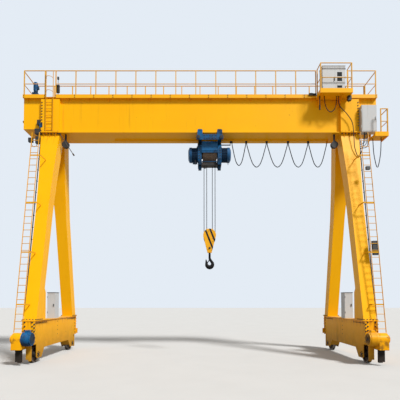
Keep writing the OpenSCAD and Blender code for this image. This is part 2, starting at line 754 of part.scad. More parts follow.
// The ladder in front of a leg, on brackets to the leg's face
module leg_ladder(side) {
    bracket_t = 12;
    color(yellow) on_side(side) {
        translate([ladder_x0, -ladder_foot_y, ladder_foot_z]) rotate([-ladder_tilt, 0, 0])
            ladder(ladder_rise / cos(ladder_tilt));
        for (z = [2400, 4600, 6800, 9000] * girder_z / 10450) {
            slab([ladder_x0 - 130, ladder_y(z), z], [ladder_x0 + ladder_w, ladder_y(z) + bracket_t, z + 60]);
            slab([ladder_x0 - 130, ladder_y(z), z], [ladder_x0 - 130 + bracket_t, leg_face_y(z), z + 60]);
        }
        slab([ladder_x0, ladder_y(truck_top_z - 200), truck_top_z - 260],
            [ladder_x0 + bracket_t + 18, -truck_end_y, truck_top_z - 200]);
    }
}

// The upright ladder from the leg's head to the walkway
module girder_ladder() {
    x0 = gate_x0 + 60;
    y = -half_web - saddle_out - stringer_w / 2 - 40;
    z0 = girder_z + 20;
    color(yellow) {
        translate([x0, y, z0]) ladder(deck_z + rail_h - 100 - z0, rail_h - 100);
        for (z = [girder_z + 300, girder_z + 1100], x = [x0, x0 + ladder_w - stringer_t])
            slab([x, y, z], [x + stringer_t, -half_web - saddle_out, z + 50]);
    }
}

module truck_cabinets() {
    half_w = truck_cab_w / 2;
    half_d = truck_cab_depth / 2;
    frame_w = 35;
    recess = 4;
    color(pale) for (side = [-1, 1]) on_side(side) translate([rail_x, 0, foot_z])
        difference() {
            slab([-half_w, -half_d, 0], [half_w, half_d, truck_cab_h]);
            slab([-half_w + frame_w, -half_d - 1, 2 * frame_w],
                [half_w - frame_w, -half_d + recess, truck_cab_h - 2 * frame_w]);
        }
}

// A compressor on the walkway's left end
module deck_unit() {
    base = [300, 280, 60];
    tank = [250, 240, 270];
    color(blue) translate([-end_x + 330, -500, deck_z]) {
        cube(base);
        translate([(base[0] - tank[0]) / 2, (base[1] - tank[1]) / 2, base[2]]) cube(tank);
        translate([base[0] / 2, base[1] / 2, base[2] + tank[2]]) cylinder(h = 120, d = 190);
    }
}

// A flood lamp on a short stand
module lamp() {
    stand_h = 260;
    head = [140, 80, 360];
    color(dark) translate([gate_x1 + 90, -rail_line_y + post_w / 2 + head[1] / 2 + 30, deck_z]) {
        cylinder(h = stand_h, d = 40);
        translate([-head[0] / 2, -head[1] / 2, stand_h]) cube(head);
    }
}

// Round lamps below the girder, a junction box at the left saddle and a sounder at the girder's left end
module junction_boxes() {
    lamp_x = rail_x - saddle_w / 2 - 225;
    lamp_y = 400;
    lamp_d = 320;
    lamp_l = 160;
    lamp_z = girder_z - 505;
    strap = [90, 20];
    side_box = [150, 130, 230];
    sounder_l = 45;
    color(dark) {
        for (side = [-1, 1]) on_side(side) {
            rod_y(lamp_x, -lamp_y - lamp_l / 2, -lamp_y + lamp_l / 2, lamp_z, lamp_d);
            slab([lamp_x - strap[0] / 2, -lamp_y - strap[1] / 2, lamp_z + lamp_d / 2 - 5],
                [lamp_x + strap[0] / 2, -lamp_y + strap[1] / 2, girder_z]);
        }
        translate([-rail_x - saddle_w / 2 - 40 - side_box[0], -half_web - side_box[1], end_under_z + 150])
            cube(side_box);
        rod_x(-end_x - sounder_l, -end_x, -half_web + 60, end_under_z + 360, 110);
    }
}

cable_rail_z = girder_z - cable_rail_w;
cable_slot = 18;
rail_wall = 5;
clamp_under_z = cable_rail_z - 110;
carrier_l = 100;

// The C section rail for the cable trolleys, with the fixed clamp at its end
module cable_rail() {
    half = cable_rail_w / 2;
    x0 = tow_x - travel_left - 100;
    x1 = clamp_x + 60;
    color("#8a8578") {
        along_x(x0, x1) translate([cable_rail_y, 0]) difference() {
            translate([-half, cable_rail_z]) square([cable_rail_w, cable_rail_w]);
            translate([-half + rail_wall, cable_rail_z + rail_wall])
                square([cable_rail_w - 2 * rail_wall, cable_rail_w - 2 * rail_wall]);
            translate([-cable_slot / 2, cable_rail_z - 1]) square([cable_slot, rail_wall + 2]);
        }
        slab([clamp_x - carrier_l / 2, cable_rail_y - half, clamp_under_z],
            [clamp_x + carrier_l / 2, cable_rail_y + half, cable_rail_z]);
    }
}

// One cable trolley: rollers in the rail, a stem through its slot and the cable's clamp
module cable_carrier(i) {
    x = carrier_x[i - 1];
    roller_d = 36;
    roller_z = cable_rail_z + rail_wall + seat_gap + roller_d / 2;
    stem_t = 7;
    color(dark) {
        slab([x - 40, cable_rail_y - stem_t / 2, clamp_under_z], [x + 40, cable_rail_y + stem_t / 2, roller_z + 8]);
        for (dx = [-24, 24])
            rod_y(x + dx, cable_rail_y - cable_rail_w / 2 + rail_wall + 5,
                cable_rail_y + cable_rail_w / 2 - rail_wall - 5, roller_z, roller_d);
        slab([x - carrier_l / 2, cable_rail_y - 26, clamp_under_z],
            [x + carrier_l / 2, cable_rail_y + 26, cable_rail_z - motion_gap]);
    }
}

// The trolley below the girder: side plates that reach up past the flange, and cross beams
module trolley_frame() {
    y0 = trolley_plate_y;
    y1 = y0 + trolley_plate_t;
    ear_w = 240;
    ear_top_z = trolley_axle_z + 50;
    arm_z = cable_rail_z - 60;
    color(blue) translate([hoist_x, 0, 0]) {
        for (end = [-1, 1]) mirror([0, end < 0 ? 1 : 0, 0]) {
            along_y(y0, y1) difference() {
                union() {
                    polygon([[-trolley_half, trolley_under_z], [trolley_half, trolley_under_z],
                        [trolley_half, trolley_top_z - 60], [trolley_half - 60, trolley_top_z],
                        [-trolley_half + 60, trolley_top_z], [-trolley_half, trolley_top_z - 60]]);
                    for (side = [-1, 1]) translate([side * trolley_wheel_x, 0])
                        polygon([[-ear_w / 2, trolley_top_z - 10], [ear_w / 2, trolley_top_z - 10],
                            [ear_w / 2, ear_top_z - 40], [ear_w / 2 - 40, ear_top_z],
                            [-ear_w / 2 + 40, ear_top_z], [-ear_w / 2, ear_top_z - 40]]);
                }
                for (side = [-1, 1])
                    translate([side * trolley_wheel_x, trolley_axle_z]) circle(d = 50 + 2 * running_fit);
            }
            for (side = [-1, 1])
                rod_y(side * (trolley_half - 80), y1, y1 + 40, trolley_under_z + 20 + 100, 200);
        }
        for (side = [-1, 1])
            slab([side * trolley_wheel_x - 80, -y0, trolley_under_z], [side * trolley_wheel_x + 80, y0, trolley_top_z]);
        slab([trolley_wheel_x + 80, cable_rail_y - 20, arm_z - 160], [tow_reach - 60, cable_rail_y + 20, arm_z - 120]);
        slab([tow_reach - 80, cable_rail_y - 20, arm_z - 160],
            [tow_reach - carrier_l / 2 - seat_gap, cable_rail_y + 20, cable_rail_z - motion_gap]);
    }
}

// A trolley wheel with its stub axle
module trolley_wheel(side, end) {
    inner_y = trolley_plate_y - motion_gap - trolley_wheel_w;
    color("#3a3f45") translate([hoist_x + side * trolley_wheel_x, 0, trolley_axle_z])
        mirror([0, end < 0 ? 1 : 0, 0]) {
            rod_y(0, inner_y, inner_y + trolley_wheel_w, 0, trolley_wheel_d);
            rod_y(0, inner_y, trolley_plate_y + trolley_plate_t + 12, 0, 50);
        }
}

// Two end frames that carry the drum, with tie bars and feet
module hoist_frame() {
    half_d = end_frame_depth / 2;
    color(blue) translate([hoist_x, 0, 0]) {
        for (side = [-1, 1]) on_side(side) {
            difference() {
                along_x(end_frame_in, end_frame_out) polygon([
                    [-half_d, hoist_z - 300], [-half_d + 60, outlet_z], [half_d - 60, outlet_z],
                    [half_d, hoist_z - 300], [half_d, hoist_z + 280], [half_d - 150, trolley_under_z],
                    [-half_d + 150, trolley_under_z], [-half_d, hoist_z + 280]]);
                rod_x(end_frame_in - 1, end_frame_in + 121, 0, hoist_z, drum_shaft_d + 2 * running_fit);
            }
            slab([end_frame_in + 10, -90, outlet_z - 160], [end_frame_out - 20, 90, outlet_z]);
        }
        for (y = [-half_d + 70, half_d - 70])
            rod_x(-end_frame_in - 5, end_frame_in + 5, y, hoist_z - 410, 50);
    }
}

// The curved sheet over the drum with its flat front plate
module drum_cover() {
    outer = shroud_in + shroud_t;
    front_t = 20;
    color(blue) translate([hoist_x, 0, 0]) along_x(-end_frame_in, end_frame_in) union() {
        translate([0, hoist_z]) difference() {
            circle(r = outer);
            circle(r = shroud_in);
            translate([-outer - 1, -outer - 1]) square([2 * outer + 2, outer - 20 + 1]);
        }
        translate([-outer - front_t, hoist_z + 60]) square([front_t + 5, trolley_under_z - hoist_z - 65]);
        translate([-outer - 1, hoist_z + 60]) square([6, 40]);
    }
}

// A ribbed motor with a smooth domed end, from the origin along X
module ribbed_motor(ribs, foot) {
    r = hoist_motor_d / 2;
    core_r = r - 55;
    cap_bulge = 60;
    rod_x(0, rib_l, 0, 0, 2 * core_r);
    for (i = [0:ribs - 1])
        rotate([360 * i / ribs, 0, 0]) translate([0, core_r - 10, -7]) cube([rib_l, 50, 14]);
    rod_x(rib_l, rib_l + cap_l - cap_bulge, 0, 0, hoist_motor_d);
    translate([rib_l + cap_l - cap_bulge, 0, 0]) rotate([0, 90, 0])
        cylinder(h = cap_bulge, r1 = r, r2 = r - 120);
    if (foot) slab([30, -60, -r - 60], [rib_l - 30, 60, -core_r + 5]);
}

module hoist_motor() {
    color(blue) translate([hoist_x - end_frame_out, 0, hoist_z]) mirror([1, 0, 0]) ribbed_motor(28, true);
}

module hoist_gear() {
    color(blue) translate([hoist_x + end_frame_out, 0, hoist_z]) ribbed_motor(28, false);
}

// The dark housing that the ropes leave, with the rope's sleeve and the limit switch rods
module rope_outlet() {
    half_d = 170;
    slot = 25;
    slot_back = half_d - 20;
    sleeve_d = 110;
    rod_d = 26;
    rod_y = end_frame_depth / 2 - 80;
    rod_z = outlet_z + 100;
    // Side of the hoist, and the rod's reach beyond the end frame
    limit_rods = [[-1, 130], [1, 310]];
    color(dark) translate([hoist_x, 0, 0]) {
        difference() {
            slab([-end_frame_in, -half_d, outlet_z], [end_frame_in, half_d, outlet_z + outlet_h]);
            for (side = [-1, 1]) {
                slab([side * sheave_r - slot, -slot_back, outlet_z - 1],
                    [side * sheave_r + slot, slot_back, outlet_z + rope_slot_h]);
                slab([side * rear_rope_x - slot, rear_rope_y - slot, outlet_z - 1],
                    [side * rear_rope_x + slot, slot_back, outlet_z + rope_slot_h]);
            }
        }
        translate([-(sheave_r + rear_rope_x) / 2 - 37, -half_d + 60, outlet_z - 120])
            cylinder(h = 121, d = sleeve_d);
        for (limit = limit_rods) on_side(limit[0]) {
            rod_x(end_frame_out, end_frame_out + limit[1], -rod_y, rod_z, rod_d);
            translate([end_frame_out + limit[1], -rod_y, rod_z - 120]) cylinder(h = 240, d = rod_d);
        }
    }
}

// The drum with its layer of rope, one ridge for each turn
module rope_drum() {
    turns = floor(2 * (end_frame_in - 70) / drum_rope_d);
    first = -(turns - 1) * drum_rope_d / 2;
    core_r = drum_r - drum_rope_d / 2;
    color("#6b5f52") translate([hoist_x, 0, hoist_z]) rotate([0, 90, 0]) {
        rotate_extrude() union() {
            translate([0, first - 18]) square([core_r, 2 * abs(first) + 36]);
            for (i = [0:turns - 1]) translate([core_r, first + i * drum_rope_d]) circle(d = drum_rope_d);
            for (side = [-1, 1])
                translate([0, side < 0 ? first - 38 : -first + 18]) square([drum_r + 18, 20]);
        }
        cylinder(h = 2 * (end_frame_in + 100), d = drum_shaft_d, center = true);
    }
}

block_half = block_gap / 2;
rear_rope_y = block_half + block_plate_t / 2;
plate_r = sheave_r + 40;
plate_top_z = block_z + 155;
plate_foot_z = block_z - 690;
swivel_z = block_z - 540;

// Two drop shaped side plates on the axle, with the crosshead for the hook
module hook_block() {
    foot_half = 100;
    side_x = plate_r * cos(17);
    side_z = plate_top_z - plate_r * sin(17);
    color("#f0b400") translate([hoist_x, 0, 0]) {
        for (end = [-1, 1]) mirror([0, end < 0 ? 1 : 0, 0])
            along_y(block_half, block_half + block_plate_t) union() {
                translate([0, plate_top_z]) circle(r = plate_r);
                polygon([[-side_x, side_z], [-foot_half, plate_foot_z], [foot_half, plate_foot_z], [side_x, side_z]]);
            }
        rod_y(0, -block_half - block_plate_t - 30, block_half + block_plate_t + 30, block_z, 90);
        difference() {
            slab([-85, -block_half, swivel_z - 110], [85, block_half, swivel_z + 70]);
            translate([0, 0, swivel_z - 111]) cylinder(h = 182, d = shank_d + 2 * running_fit);
        }
        for (side = [-1, 1])
            translate([side * rear_rope_x, rear_rope_y, plate_top_z + 200]) cylinder(h = 130, d = 54);
    }
}

// The grooved rope wheel in the hook block
module block_sheave() {
    half_w = 34;
    rim_r = sheave_r + 18;
    groove_r = rope_d / 2 + seat_gap;
    color("#55585c") translate([hoist_x, 0, block_z]) rotate([90, 0, 0]) rotate_extrude() difference() {
        translate([45 + running_fit, 0]) union() {
            translate([0, -half_w - 10]) square([60, 2 * half_w + 20]);
            translate([0, -12]) square([sheave_r - 60, 24]);
            translate([sheave_r - 100, -half_w]) square([rim_r - sheave_r + 100 - 45 - running_fit, 2 * half_w]);
        }
        translate([sheave_r, 0]) circle(r = groove_r);
        translate([sheave_r, -groove_r]) square([60, 2 * groove_r]);
    }
}

// Four falls, of which the front two pass round the sheave
module ropes() {
    top_z = outlet_z + rope_slot_h - seat_gap;
    socket_z = plate_top_z + 330 + seat_gap;
    color("#3c3a38") translate([hoist_x, 0, 0]) {
        for (side = [-1, 1]) {
            translate([side * sheave_r, 0, block_z]) cylinder(h = top_z - block_z, d = rope_d);
            translate([side * rear_rope_x, rear_rope_y, socket_z]) cylinder(h = top_z - socket_z, d = rope_d);
        }
        translate([0, 0, block_z]) rotate([90, 0, 0]) rotate([0, 0, 180]) rotate_extrude(angle = 180)
            translate([sheave_r, 0]) circle(d = rope_d);
    }
}

// A forged single hook with its nut and safety latch
module hook() {
    neck_z = swivel_z - 330;
    latch_half = 14;
    color(dark) translate([hoist_x, 0, 0]) {
        translate([0, 0, neck_z - 50]) cylinder(h = 500, d = shank_d);
        translate([0, 0, swivel_z + 70 + seat_gap]) cylinder(h = 50, d = shank_d + 44);
        tapered_bar([for (p = hook_route) [p[0], 0, swivel_z + p[1]]], [for (p = hook_route) p[2]]);
        along_y(-latch_half, latch_half)
            polygon([[-4, neck_z - 110], [20, neck_z - 140], [-128, neck_z - 262], [-150, neck_z - 250]]);
    }
}

// The hoist's cable between its trolleys and the fixed clamp
module hoist_cable() {
    stations = concat(carrier_x, [clamp_x]);
    inset = 26;
    color("#1f2f38") for (i = [0:len(stations) - 2])
        tube(loop_points(stations[i] + inset, stations[i + 1] - inset, cable_rail_y, clamp_under_z - seat_gap,
            i == 0 ? loop_drop - 80 : loop_drop), cable_d);
}

module hanging_cables() {
    color("#1c1f22") for (route = cable_routes) tube(route, 36);
}

truck(-1);  // truck_left
truck(1);  // truck_right
travel_wheel(-1, -1);  // wheel_front_left
travel_wheel(-1, 1);  // wheel_back_left
travel_wheel(1, -1);  // wheel_front_right
travel_wheel(1, 1);  // wheel_back_right
travel_motor(-1);  // travel_motor_left
travel_motor(1);  // travel_motor_right
gear_case(-1);  // gear_case_left
gear_case(1);  // gear_case_right
leg(-1, -1);  // leg_front_left
leg(-1, 1);  // leg_back_left
leg(1, -1);  // leg_front_right
leg(1, 1);  // leg_back_right
saddle(-1);  // saddle_left
saddle(1);  // saddle_right
girder();
lower_flange();
walkway_deck();
railing_front();
railing_back();
railing_ends();
balcony();
balcony_railing();
control_cabinet();
end_cabinet();
end_cabinet_door();
landing();
landing_railing();
leg_ladder(-1);  // ladder_left
leg_ladder(1);  // ladder_right
girder_ladder();
truck_cabinets();
deck_unit();
lamp();
junction_boxes();
cable_rail();
trolley_frame();
trolley_wheel(-1, -1);  // trolley_wheel_front_left
trolley_wheel(1, -1);  // trolley_wheel_front_right
trolley_wheel(-1, 1);  // trolley_wheel_back_left
trolley_wheel(1, 1);  // trolley_wheel_back_right
hoist_frame();
drum_cover();
hoist_motor();
hoist_gear();
rope_outlet();
rope_drum();
hook_block();
block_sheave();
ropes();
hook();
cable_carrier(1);  // cable_carrier_1
cable_carrier(2);  // cable_carrier_2
cable_carrier(3);  // cable_carrier_3
cable_carrier(4);  // cable_carrier_4
cable_carrier(5);  // cable_carrier_5
hoist_cable();
hanging_cables();
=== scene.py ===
import math
import bpy
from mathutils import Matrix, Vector


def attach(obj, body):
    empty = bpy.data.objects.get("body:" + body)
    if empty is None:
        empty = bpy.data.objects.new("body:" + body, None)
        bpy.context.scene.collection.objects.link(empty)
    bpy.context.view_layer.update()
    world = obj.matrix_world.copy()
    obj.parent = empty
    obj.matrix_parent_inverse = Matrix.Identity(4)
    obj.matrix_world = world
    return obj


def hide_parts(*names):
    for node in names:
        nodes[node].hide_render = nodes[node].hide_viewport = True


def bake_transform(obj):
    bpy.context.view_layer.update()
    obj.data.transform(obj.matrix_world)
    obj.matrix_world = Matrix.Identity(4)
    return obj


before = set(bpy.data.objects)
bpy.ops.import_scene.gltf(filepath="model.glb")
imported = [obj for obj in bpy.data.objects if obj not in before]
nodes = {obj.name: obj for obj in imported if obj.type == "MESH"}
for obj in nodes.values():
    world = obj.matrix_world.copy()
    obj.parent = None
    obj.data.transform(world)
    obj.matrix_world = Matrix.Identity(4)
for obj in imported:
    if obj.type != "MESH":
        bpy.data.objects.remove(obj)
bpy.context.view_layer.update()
scene = bpy.context.scene
scene.view_settings.view_transform = "Standard"


# Camera: in front of the girder's middle, 2.6 m up and turned slightly upward
view = {
    "distance": 17.952,   # metres in front of the girder
    "height": 2.582,
    "pitch": 1.95,        # degrees upward
    "lens": 33.87,
    "shift": 0.22,
}


def placeCamera():
    data = bpy.data.cameras.new("camera")
    data.lens = view["lens"]
    data.shift_y = view["shift"]
    data.clip_end = 500
    camera = bpy.data.objects.new("camera", data)
    camera.location = (0, -view["distance"], view["height"])
    camera.rotation_euler = (math.radians(90 + view["pitch"]), 0, 0)
    scene.collection.objects.link(camera)
    scene.camera = camera


placeCamera()
print("camera placed")


# Colours and the shader toolkit
def screen(red, green, blue):
    # a screen colour from 0 to 255 as the linear one that a shader takes
    parts = [c / 255 for c in (red, green, blue)]
    return tuple(c / 12.92 if c <= 0.04045 else ((c + 0.055) / 1.055) ** 2.4 for c in parts) + (1.0,)


class Wire:
    # A socket that takes part in sums: each operator adds its Math node

    def __init__(self, tree, socket):
        self.tree = tree
        self.socket = socket

    def math(self, operation, first, second=0.0, clamp=False):
        settings = {"operation": operation, "use_clamp": clamp}
        return self.tree.add("ShaderNodeMath", settings, {0: first, 1: second}).out(0)

    def __add__(self, other):
        return self.math("ADD", self, other)

    __radd__ = __add__

    def __sub__(self, other):
        return self.math("SUBTRACT", self, other)

    def __rsub__(self, other):
        return self.math("SUBTRACT", other, self)

    def __mul__(self, other):
        return self.math("MULTIPLY", self, other)

    __rmul__ = __mul__

    def __truediv__(self, other):
        return self.math("DIVIDE", self, other)

    def clip(self):
        return self.math("ADD", self, 0.0, True)

    def above(self, edge, soft):
        # 0 below the edge and 1 past it, over a soft width
        return self.math("MULTIPLY", self - edge, 1.0 / soft, True)

    def below(self, edge, soft):
        return 1.0 - self.above(edge, soft)

    def size(self):
        return self.math("ABSOLUTE", self)

    def wave(self):
        return self.math("SINE", self)

    def root(self):
        return self.math("SQRT", self)


class Tree:
    # A node tree, of a material or of geometry, with one method that adds nodes

    def __init__(self, tree):
        self.tree = tree
        tree.nodes.clear()

    def add(self, kind, settings=None, sockets=None):
        node = self.tree.nodes.new(kind)
        for key, value in (settings or {}).items():
            setattr(node, key, value)
        for key, value in (sockets or {}).items():
            self.feed(node.inputs[key], value)
        return Node(self, node)

    def feed(self, socket, value):
        if isinstance(value, Wire):
            self.tree.links.new(value.socket, socket)
        else:
            socket.default_value = value


class Node:
    def __init__(self, tree, node):
        self.tree = tree
        self.node = node

    def out(self, key):
        return Wire(self.tree, self.node.outputs[key])


class Paint(Tree):
    # A material with one Principled shader, patterned in the object's own metres

    def __init__(self, name, gloss):
        self.material = bpy.data.materials.new(name)
        self.material.use_nodes = True
        super().__init__(self.material.node_tree)
        self.place = self.add("ShaderNodeTexCoord").out("Object")
        axes = self.add("ShaderNodeSeparateXYZ", {}, {0: self.place})
        self.x, self.y, self.z = (axes.out(i) for i in range(3))
        self.shader = self.add("ShaderNodeBsdfPrincipled", {}, {"Specular IOR Level": gloss})
        output = self.add("ShaderNodeOutputMaterial")
        self.feed(output.node.inputs["Surface"], self.shader.out("BSDF"))

    def set(self, key, value):
        self.feed(self.shader.node.inputs[key], value)

    def stretched(self, stretch, shift):
        scaled = self.add("ShaderNodeVectorMath", {"operation": "MULTIPLY"}, {0: self.place, 1: stretch})
        moved = self.add("ShaderNodeVectorMath", {"operation": "ADD"}, {0: scaled.out(0), 1: shift})
        return moved.out(0)

    def noise(self, scale, detail, stretch=(1, 1, 1), shift=(0, 0, 0)):
        sockets = {"Vector": self.stretched(stretch, shift), "Scale": scale, "Detail": detail,
                   "Roughness": 0.55}
        return self.add("ShaderNodeTexNoise", {}, sockets).out(0)

    def cells(self, scale):
        # the distance from scattered points, for round spots
        return self.add("ShaderNodeTexVoronoi", {}, {"Vector": self.place, "Scale": scale}).out("Distance")

    def mix(self, factor, first, second):
        return self.add("ShaderNodeMix", {"data_type": "RGBA"}, {0: factor, 6: first, 7: second}).out(2)

    def facing(self, axis):
        normal = self.add("ShaderNodeNewGeometry").out("Normal")
        return self.add("ShaderNodeSeparateXYZ", {}, {0: normal}).out(axis)

    def bump(self, height, strength, distance, normal=None):
        sockets = {"Height": height, "Strength": strength, "Distance": distance}
        if normal:
            sockets["Normal"] = normal
        return self.add("ShaderNodeBump", {}, sockets).out(0)


# Mesh helpers
def makePiece(name, verts, faces, material, smooth=False):
    mesh = bpy.data.meshes.new(name)
    mesh.from_pydata([tuple(v) for v in verts], [], faces)
    mesh.materials.append(material)
    mesh.validate()
    mesh.polygons.foreach_set("use_smooth", [smooth] * len(mesh.polygons))
    mesh.update()
    piece = bpy.data.objects.new(name, mesh)
    scene.collection.objects.link(piece)
    return piece


def smoothPath(points, step):
    # a rounded path through the points, with even steps along it
    points = [Vector(p) for p in points]
    padded = [2 * points[0] - points[1]] + points + [2 * points[-1] - points[-2]]
    fine = []
    for a, b, c, d in zip(padded, padded[1:], padded[2:], padded[3:]):
        t0 = 0.0
        t1 = t0 + max((b - a).length, 1e-6) ** 0.5
        t2 = t1 + max((c - b).length, 1e-6) ** 0.5
        t3 = t2 + max((d - c).length, 1e-6) ** 0.5
        for i in range(12):
            t = t1 + (t2 - t1) * i / 12
            ab = a * ((t1 - t) / (t1 - t0)) + b * ((t - t0) / (t1 - t0))
            bc = b * ((t2 - t) / (t2 - t1)) + c * ((t - t1) / (t2 - t1))
            cd = c * ((t3 - t) / (t3 - t2)) + d * ((t - t2) / (t3 - t2))
            abc = ab * ((t2 - t) / (t2 - t0)) + bc * ((t - t0) / (t2 - t0))
            bcd = bc * ((t3 - t) / (t3 - t1)) + cd * ((t - t1) / (t3 - t1))
            fine.append(abc * ((t2 - t) / (t2 - t1)) + bcd * ((t - t1) / (t2 - t1)))
    fine.append(points[-1])
    return evenPath(fine, step)


def evenPath(points, step):
    lengths = [0.0]
    for a, b in zip(points, points[1:]):
        lengths.append(lengths[-1] + (b - a).length)
    count = max(2, round(lengths[-1] / step))
    even = []
    spot = 0
    for i in range(count + 1):
        target = lengths[-1] * i / count
        while spot < len(points) - 2 and lengths[spot + 1] < target:
            spot += 1
        share = (target - lengths[spot]) / max(lengths[spot + 1] - lengths[spot], 1e-9)
        even.append(points[spot].lerp(points[spot + 1], min(1.0, share)))
    return even


def pathLength(points):
    return sum((b - a).length for a, b in zip(points, points[1:]))


def tubeMesh(path, radius, sides=12, turn=0.0, lobes=0, depth=0.0):
    # a tube along the path; turn is its twist in radians a metre, lobes the strands that show
    verts, faces = [], []
    along = 0.0
    side = None
    for i, point in enumerate(path):
        ahead = (path[min(i + 1, len(path) - 1)] - path[max(i - 1, 0)]).normalized()
        if side is None:
            side = ahead.orthogonal().normalized()
        side = (side - ahead * side.dot(ahead)).normalized()
        up = ahead.cross(side)
        if i:
            along += (point - path[i - 1]).length
        reach = radius(i) if callable(radius) else radius
        for k in range(sides):
            angle = 2 * math.pi * k / sides
            bulge = 1 - depth + depth * abs(math.cos(lobes * angle / 2)) if lobes else 1.0
            spin = angle + turn * along
            verts.append(point + reach * bulge * (math.cos(spin) * side + math.sin(spin) * up))
    for i in range(len(path) - 1):
        for k in range(sides):
            a, b = i * sides + k, i * sides + (k + 1) % sides
            faces.append((a, b, b + sides, a + sides))
    last = (len(path) - 1) * sides
    faces.append(tuple(reversed(range(sides))))
    faces.append(tuple(range(last, last + sides)))
    return verts, faces


def dress(material, *names):
    for name in names:
        slots = nodes[name].data.materials
        slots.clear()
        slots.append(material)


# Cables: rubber sheath
def sheathFinish():
    paint = Paint("rubberSheath", 0.2)
    dust = paint.noise(3.0, 4.0).above(0.45, 0.3)
    paint.set("Base Color", paint.mix(dust * 0.4, screen(14, 20, 30), screen(46, 52, 60)))
    paint.set("Roughness", 0.52 + dust * 0.2)
    paint.set("Normal", paint.bump(paint.noise(220.0, 2.0), 0.2, 0.002))
    return paint.material


loops = {
    # places of the cable trolleys along the girder, from the hoist's own to the fixed clamp
    "stations": (1.54, 2.25918, 3.25856, 4.29997, 5.29001, 6.21),
    "bodies": ("carrier_1", "carrier_2", "carrier_3", "carrier_4", "carrier_5", "portal"),
    "y": 0.20,
    "top": 10.2797,
    "inset": 0.026,      # from a clamp's middle to the cable
    "drop": 1.18,
    "firstDrop": 1.10,
    "diameter": 0.040,
    # one loop: share of the way between two clamps, and share of the depth
    "route": ((0, 0), (0, 0.05), (0.09, 0.33), (0.2, 0.64), (0.34, 0.9), (0.5, 1),
              (0.66, 0.9), (0.8, 0.64), (0.91, 0.33), (1, 0.05), (1, 0)),
}
hanging = {
    "diameter": 0.036,
    "balconyCable": ((5.74, -0.9, 12.0197), (5.74, -0.9, 11.92), (5.78, -0.9, 11.6), (5.89, -0.9, 11.36),
                     (6.03, -0.9, 11.28), (6.17, -0.9, 11.37), (6.27, -0.9, 11.61), (6.31, -0.9, 11.92),
                     (6.31, -0.9, 12.0197)),
    "cabinetCable": ((6.4, -0.9, 12.0197), (6.4, -0.9, 11.9), (6.45, -0.86, 11.6), (6.8, -0.8, 11.25),
                     (7.05, -0.79, 10.85), (7.1, -0.83, 10.2), (7.12, -0.88, 9.6), (7.28, -0.9, 9.18),
                     (7.48, -0.86, 9.6), (7.6, -0.78, 10.25), (7.6, -0.78, 10.3697)),
    "landingCable": ((7.98, -0.82, 10.1197), (7.98, -0.82, 10.02), (8.03, -0.82, 9.25), (8.17, -0.82, 8.72),
                     (8.31, -0.82, 9.25), (8.36, -0.82, 10.02), (8.36, -0.82, 10.1197)),
}


def makeCable(name, points, diameter, node, material):
    # a free cable with a rounded way through its points
    path = smoothPath(points, 0.05)
    cable = makePiece(name, *tubeMesh(path, diameter / 2), material, True)
    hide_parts(node)
    pathLength(path)
    return cable, tuple(path[0]), tuple(path[-1])


def makeHoistCable(material):
    stations, bodies = loops["stations"], loops["bodies"]
    for i in range(len(stations) - 1):
        x0, x1 = stations[i] + loops["inset"], stations[i + 1] - loops["inset"]
        drop = loops["firstDrop"] if i == 0 else loops["drop"]
        points = [(x0 + u * (x1 - x0), loops["y"], loops["top"] - v * drop) for u, v in loops["route"]]
        cable, start, end = makeCable(f"hoistCable{i + 1}", points, loops["diameter"], "hoist_cable", material)
        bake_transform(cable)


def makeHangingCables(material):
    for name in ("balconyCable", "cabinetCable", "landingCable"):
        cable = makeCable(name, hanging[name], hanging["diameter"], "hanging_cables", material)[0]
        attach(cable, "portal")


sheath = sheathFinish()
makeHoistCable(sheath)
makeHangingCables(sheath)
print("cables hung")


# Finishes: the main tone of each, and the tone that patches of it turn to
tones = {
    "crane": (screen(255, 186, 0), screen(250, 172, 0)),
    "truck": (screen(255, 184, 4), screen(242, 162, 4)),
    "drive": (screen(255, 184, 4), screen(232, 152, 4)),
    "driveFoot": (screen(26, 26, 28), screen(58, 48, 38)),
    "deck": (screen(248, 178, 12), screen(150, 126, 88)),
    "rail": (screen(232, 172, 30), screen(210, 152, 26)),
    "hoist": (screen(13, 90, 140), screen(6, 52, 88)),
    "motor": (screen(14, 92, 142), screen(8, 64, 106)),
    "drumRope": (screen(160, 136, 116), screen(104, 88, 76)),
    "wire": (screen(44, 42, 42), screen(22, 22, 24)),
    "block": (screen(252, 184, 18), screen(220, 152, 14)),
    "cabinet": (screen(203, 203, 201), screen(186, 187, 186)),
    "wheel": (screen(92, 66, 46), screen(60, 46, 38)),
    "darkSteel": (screen(34, 38, 42), screen(58, 54, 50)),
    "boltSteel": (screen(52, 46, 40), screen(84, 70, 54)),
    "plastic": (screen(22, 24, 26), screen(44, 46, 48)),
    "hook": (screen(6, 7, 9), screen(18, 19, 22)),
    "greyCast": (screen(86, 88, 90), screen(60, 60, 60)),
    "glass": (screen(6, 9, 12), screen(30, 34, 36)),
}
# wear and dirt that lie over them, and painted shade
stains = {
    "rain": screen(140, 88, 22),            # dust carried down the yellow plates
    "runs": screen(176, 96, 16),            # below flanges and top plates
    "dust": screen(172, 146, 104),
    "rust": screen(92, 48, 24),             # in the chips of the yellow
    "mud": screen(84, 62, 42),
    "bareDeck": screen(128, 120, 112),
    "wornRail": screen(140, 98, 44),
    "ironRust": screen(88, 56, 36),
    "tread": screen(158, 152, 146),         # bright steel of the wheels
    "grease": screen(26, 24, 22),
    "hoistOil": screen(6, 24, 38),
    "hoistShadeBelow": screen(6, 16, 26),        # painted shade on what faces down
    "hoistRub": screen(120, 136, 146),
    "driveGrime": screen(96, 66, 30),
    # painted shade between the hoist motors' ribs
    "motorRibShade": screen(8, 22, 34),
    "motorRub": screen(112, 132, 146),
    "strandShade": screen(64, 54, 46),      # painted shade between the drum rope's strands
    "bars": screen(14, 14, 16),             # on the block
    "blockScuff": screen(96, 78, 60),
    "cabinetRain": screen(150, 142, 128),
    "cabinetDust": screen(158, 148, 130),
}
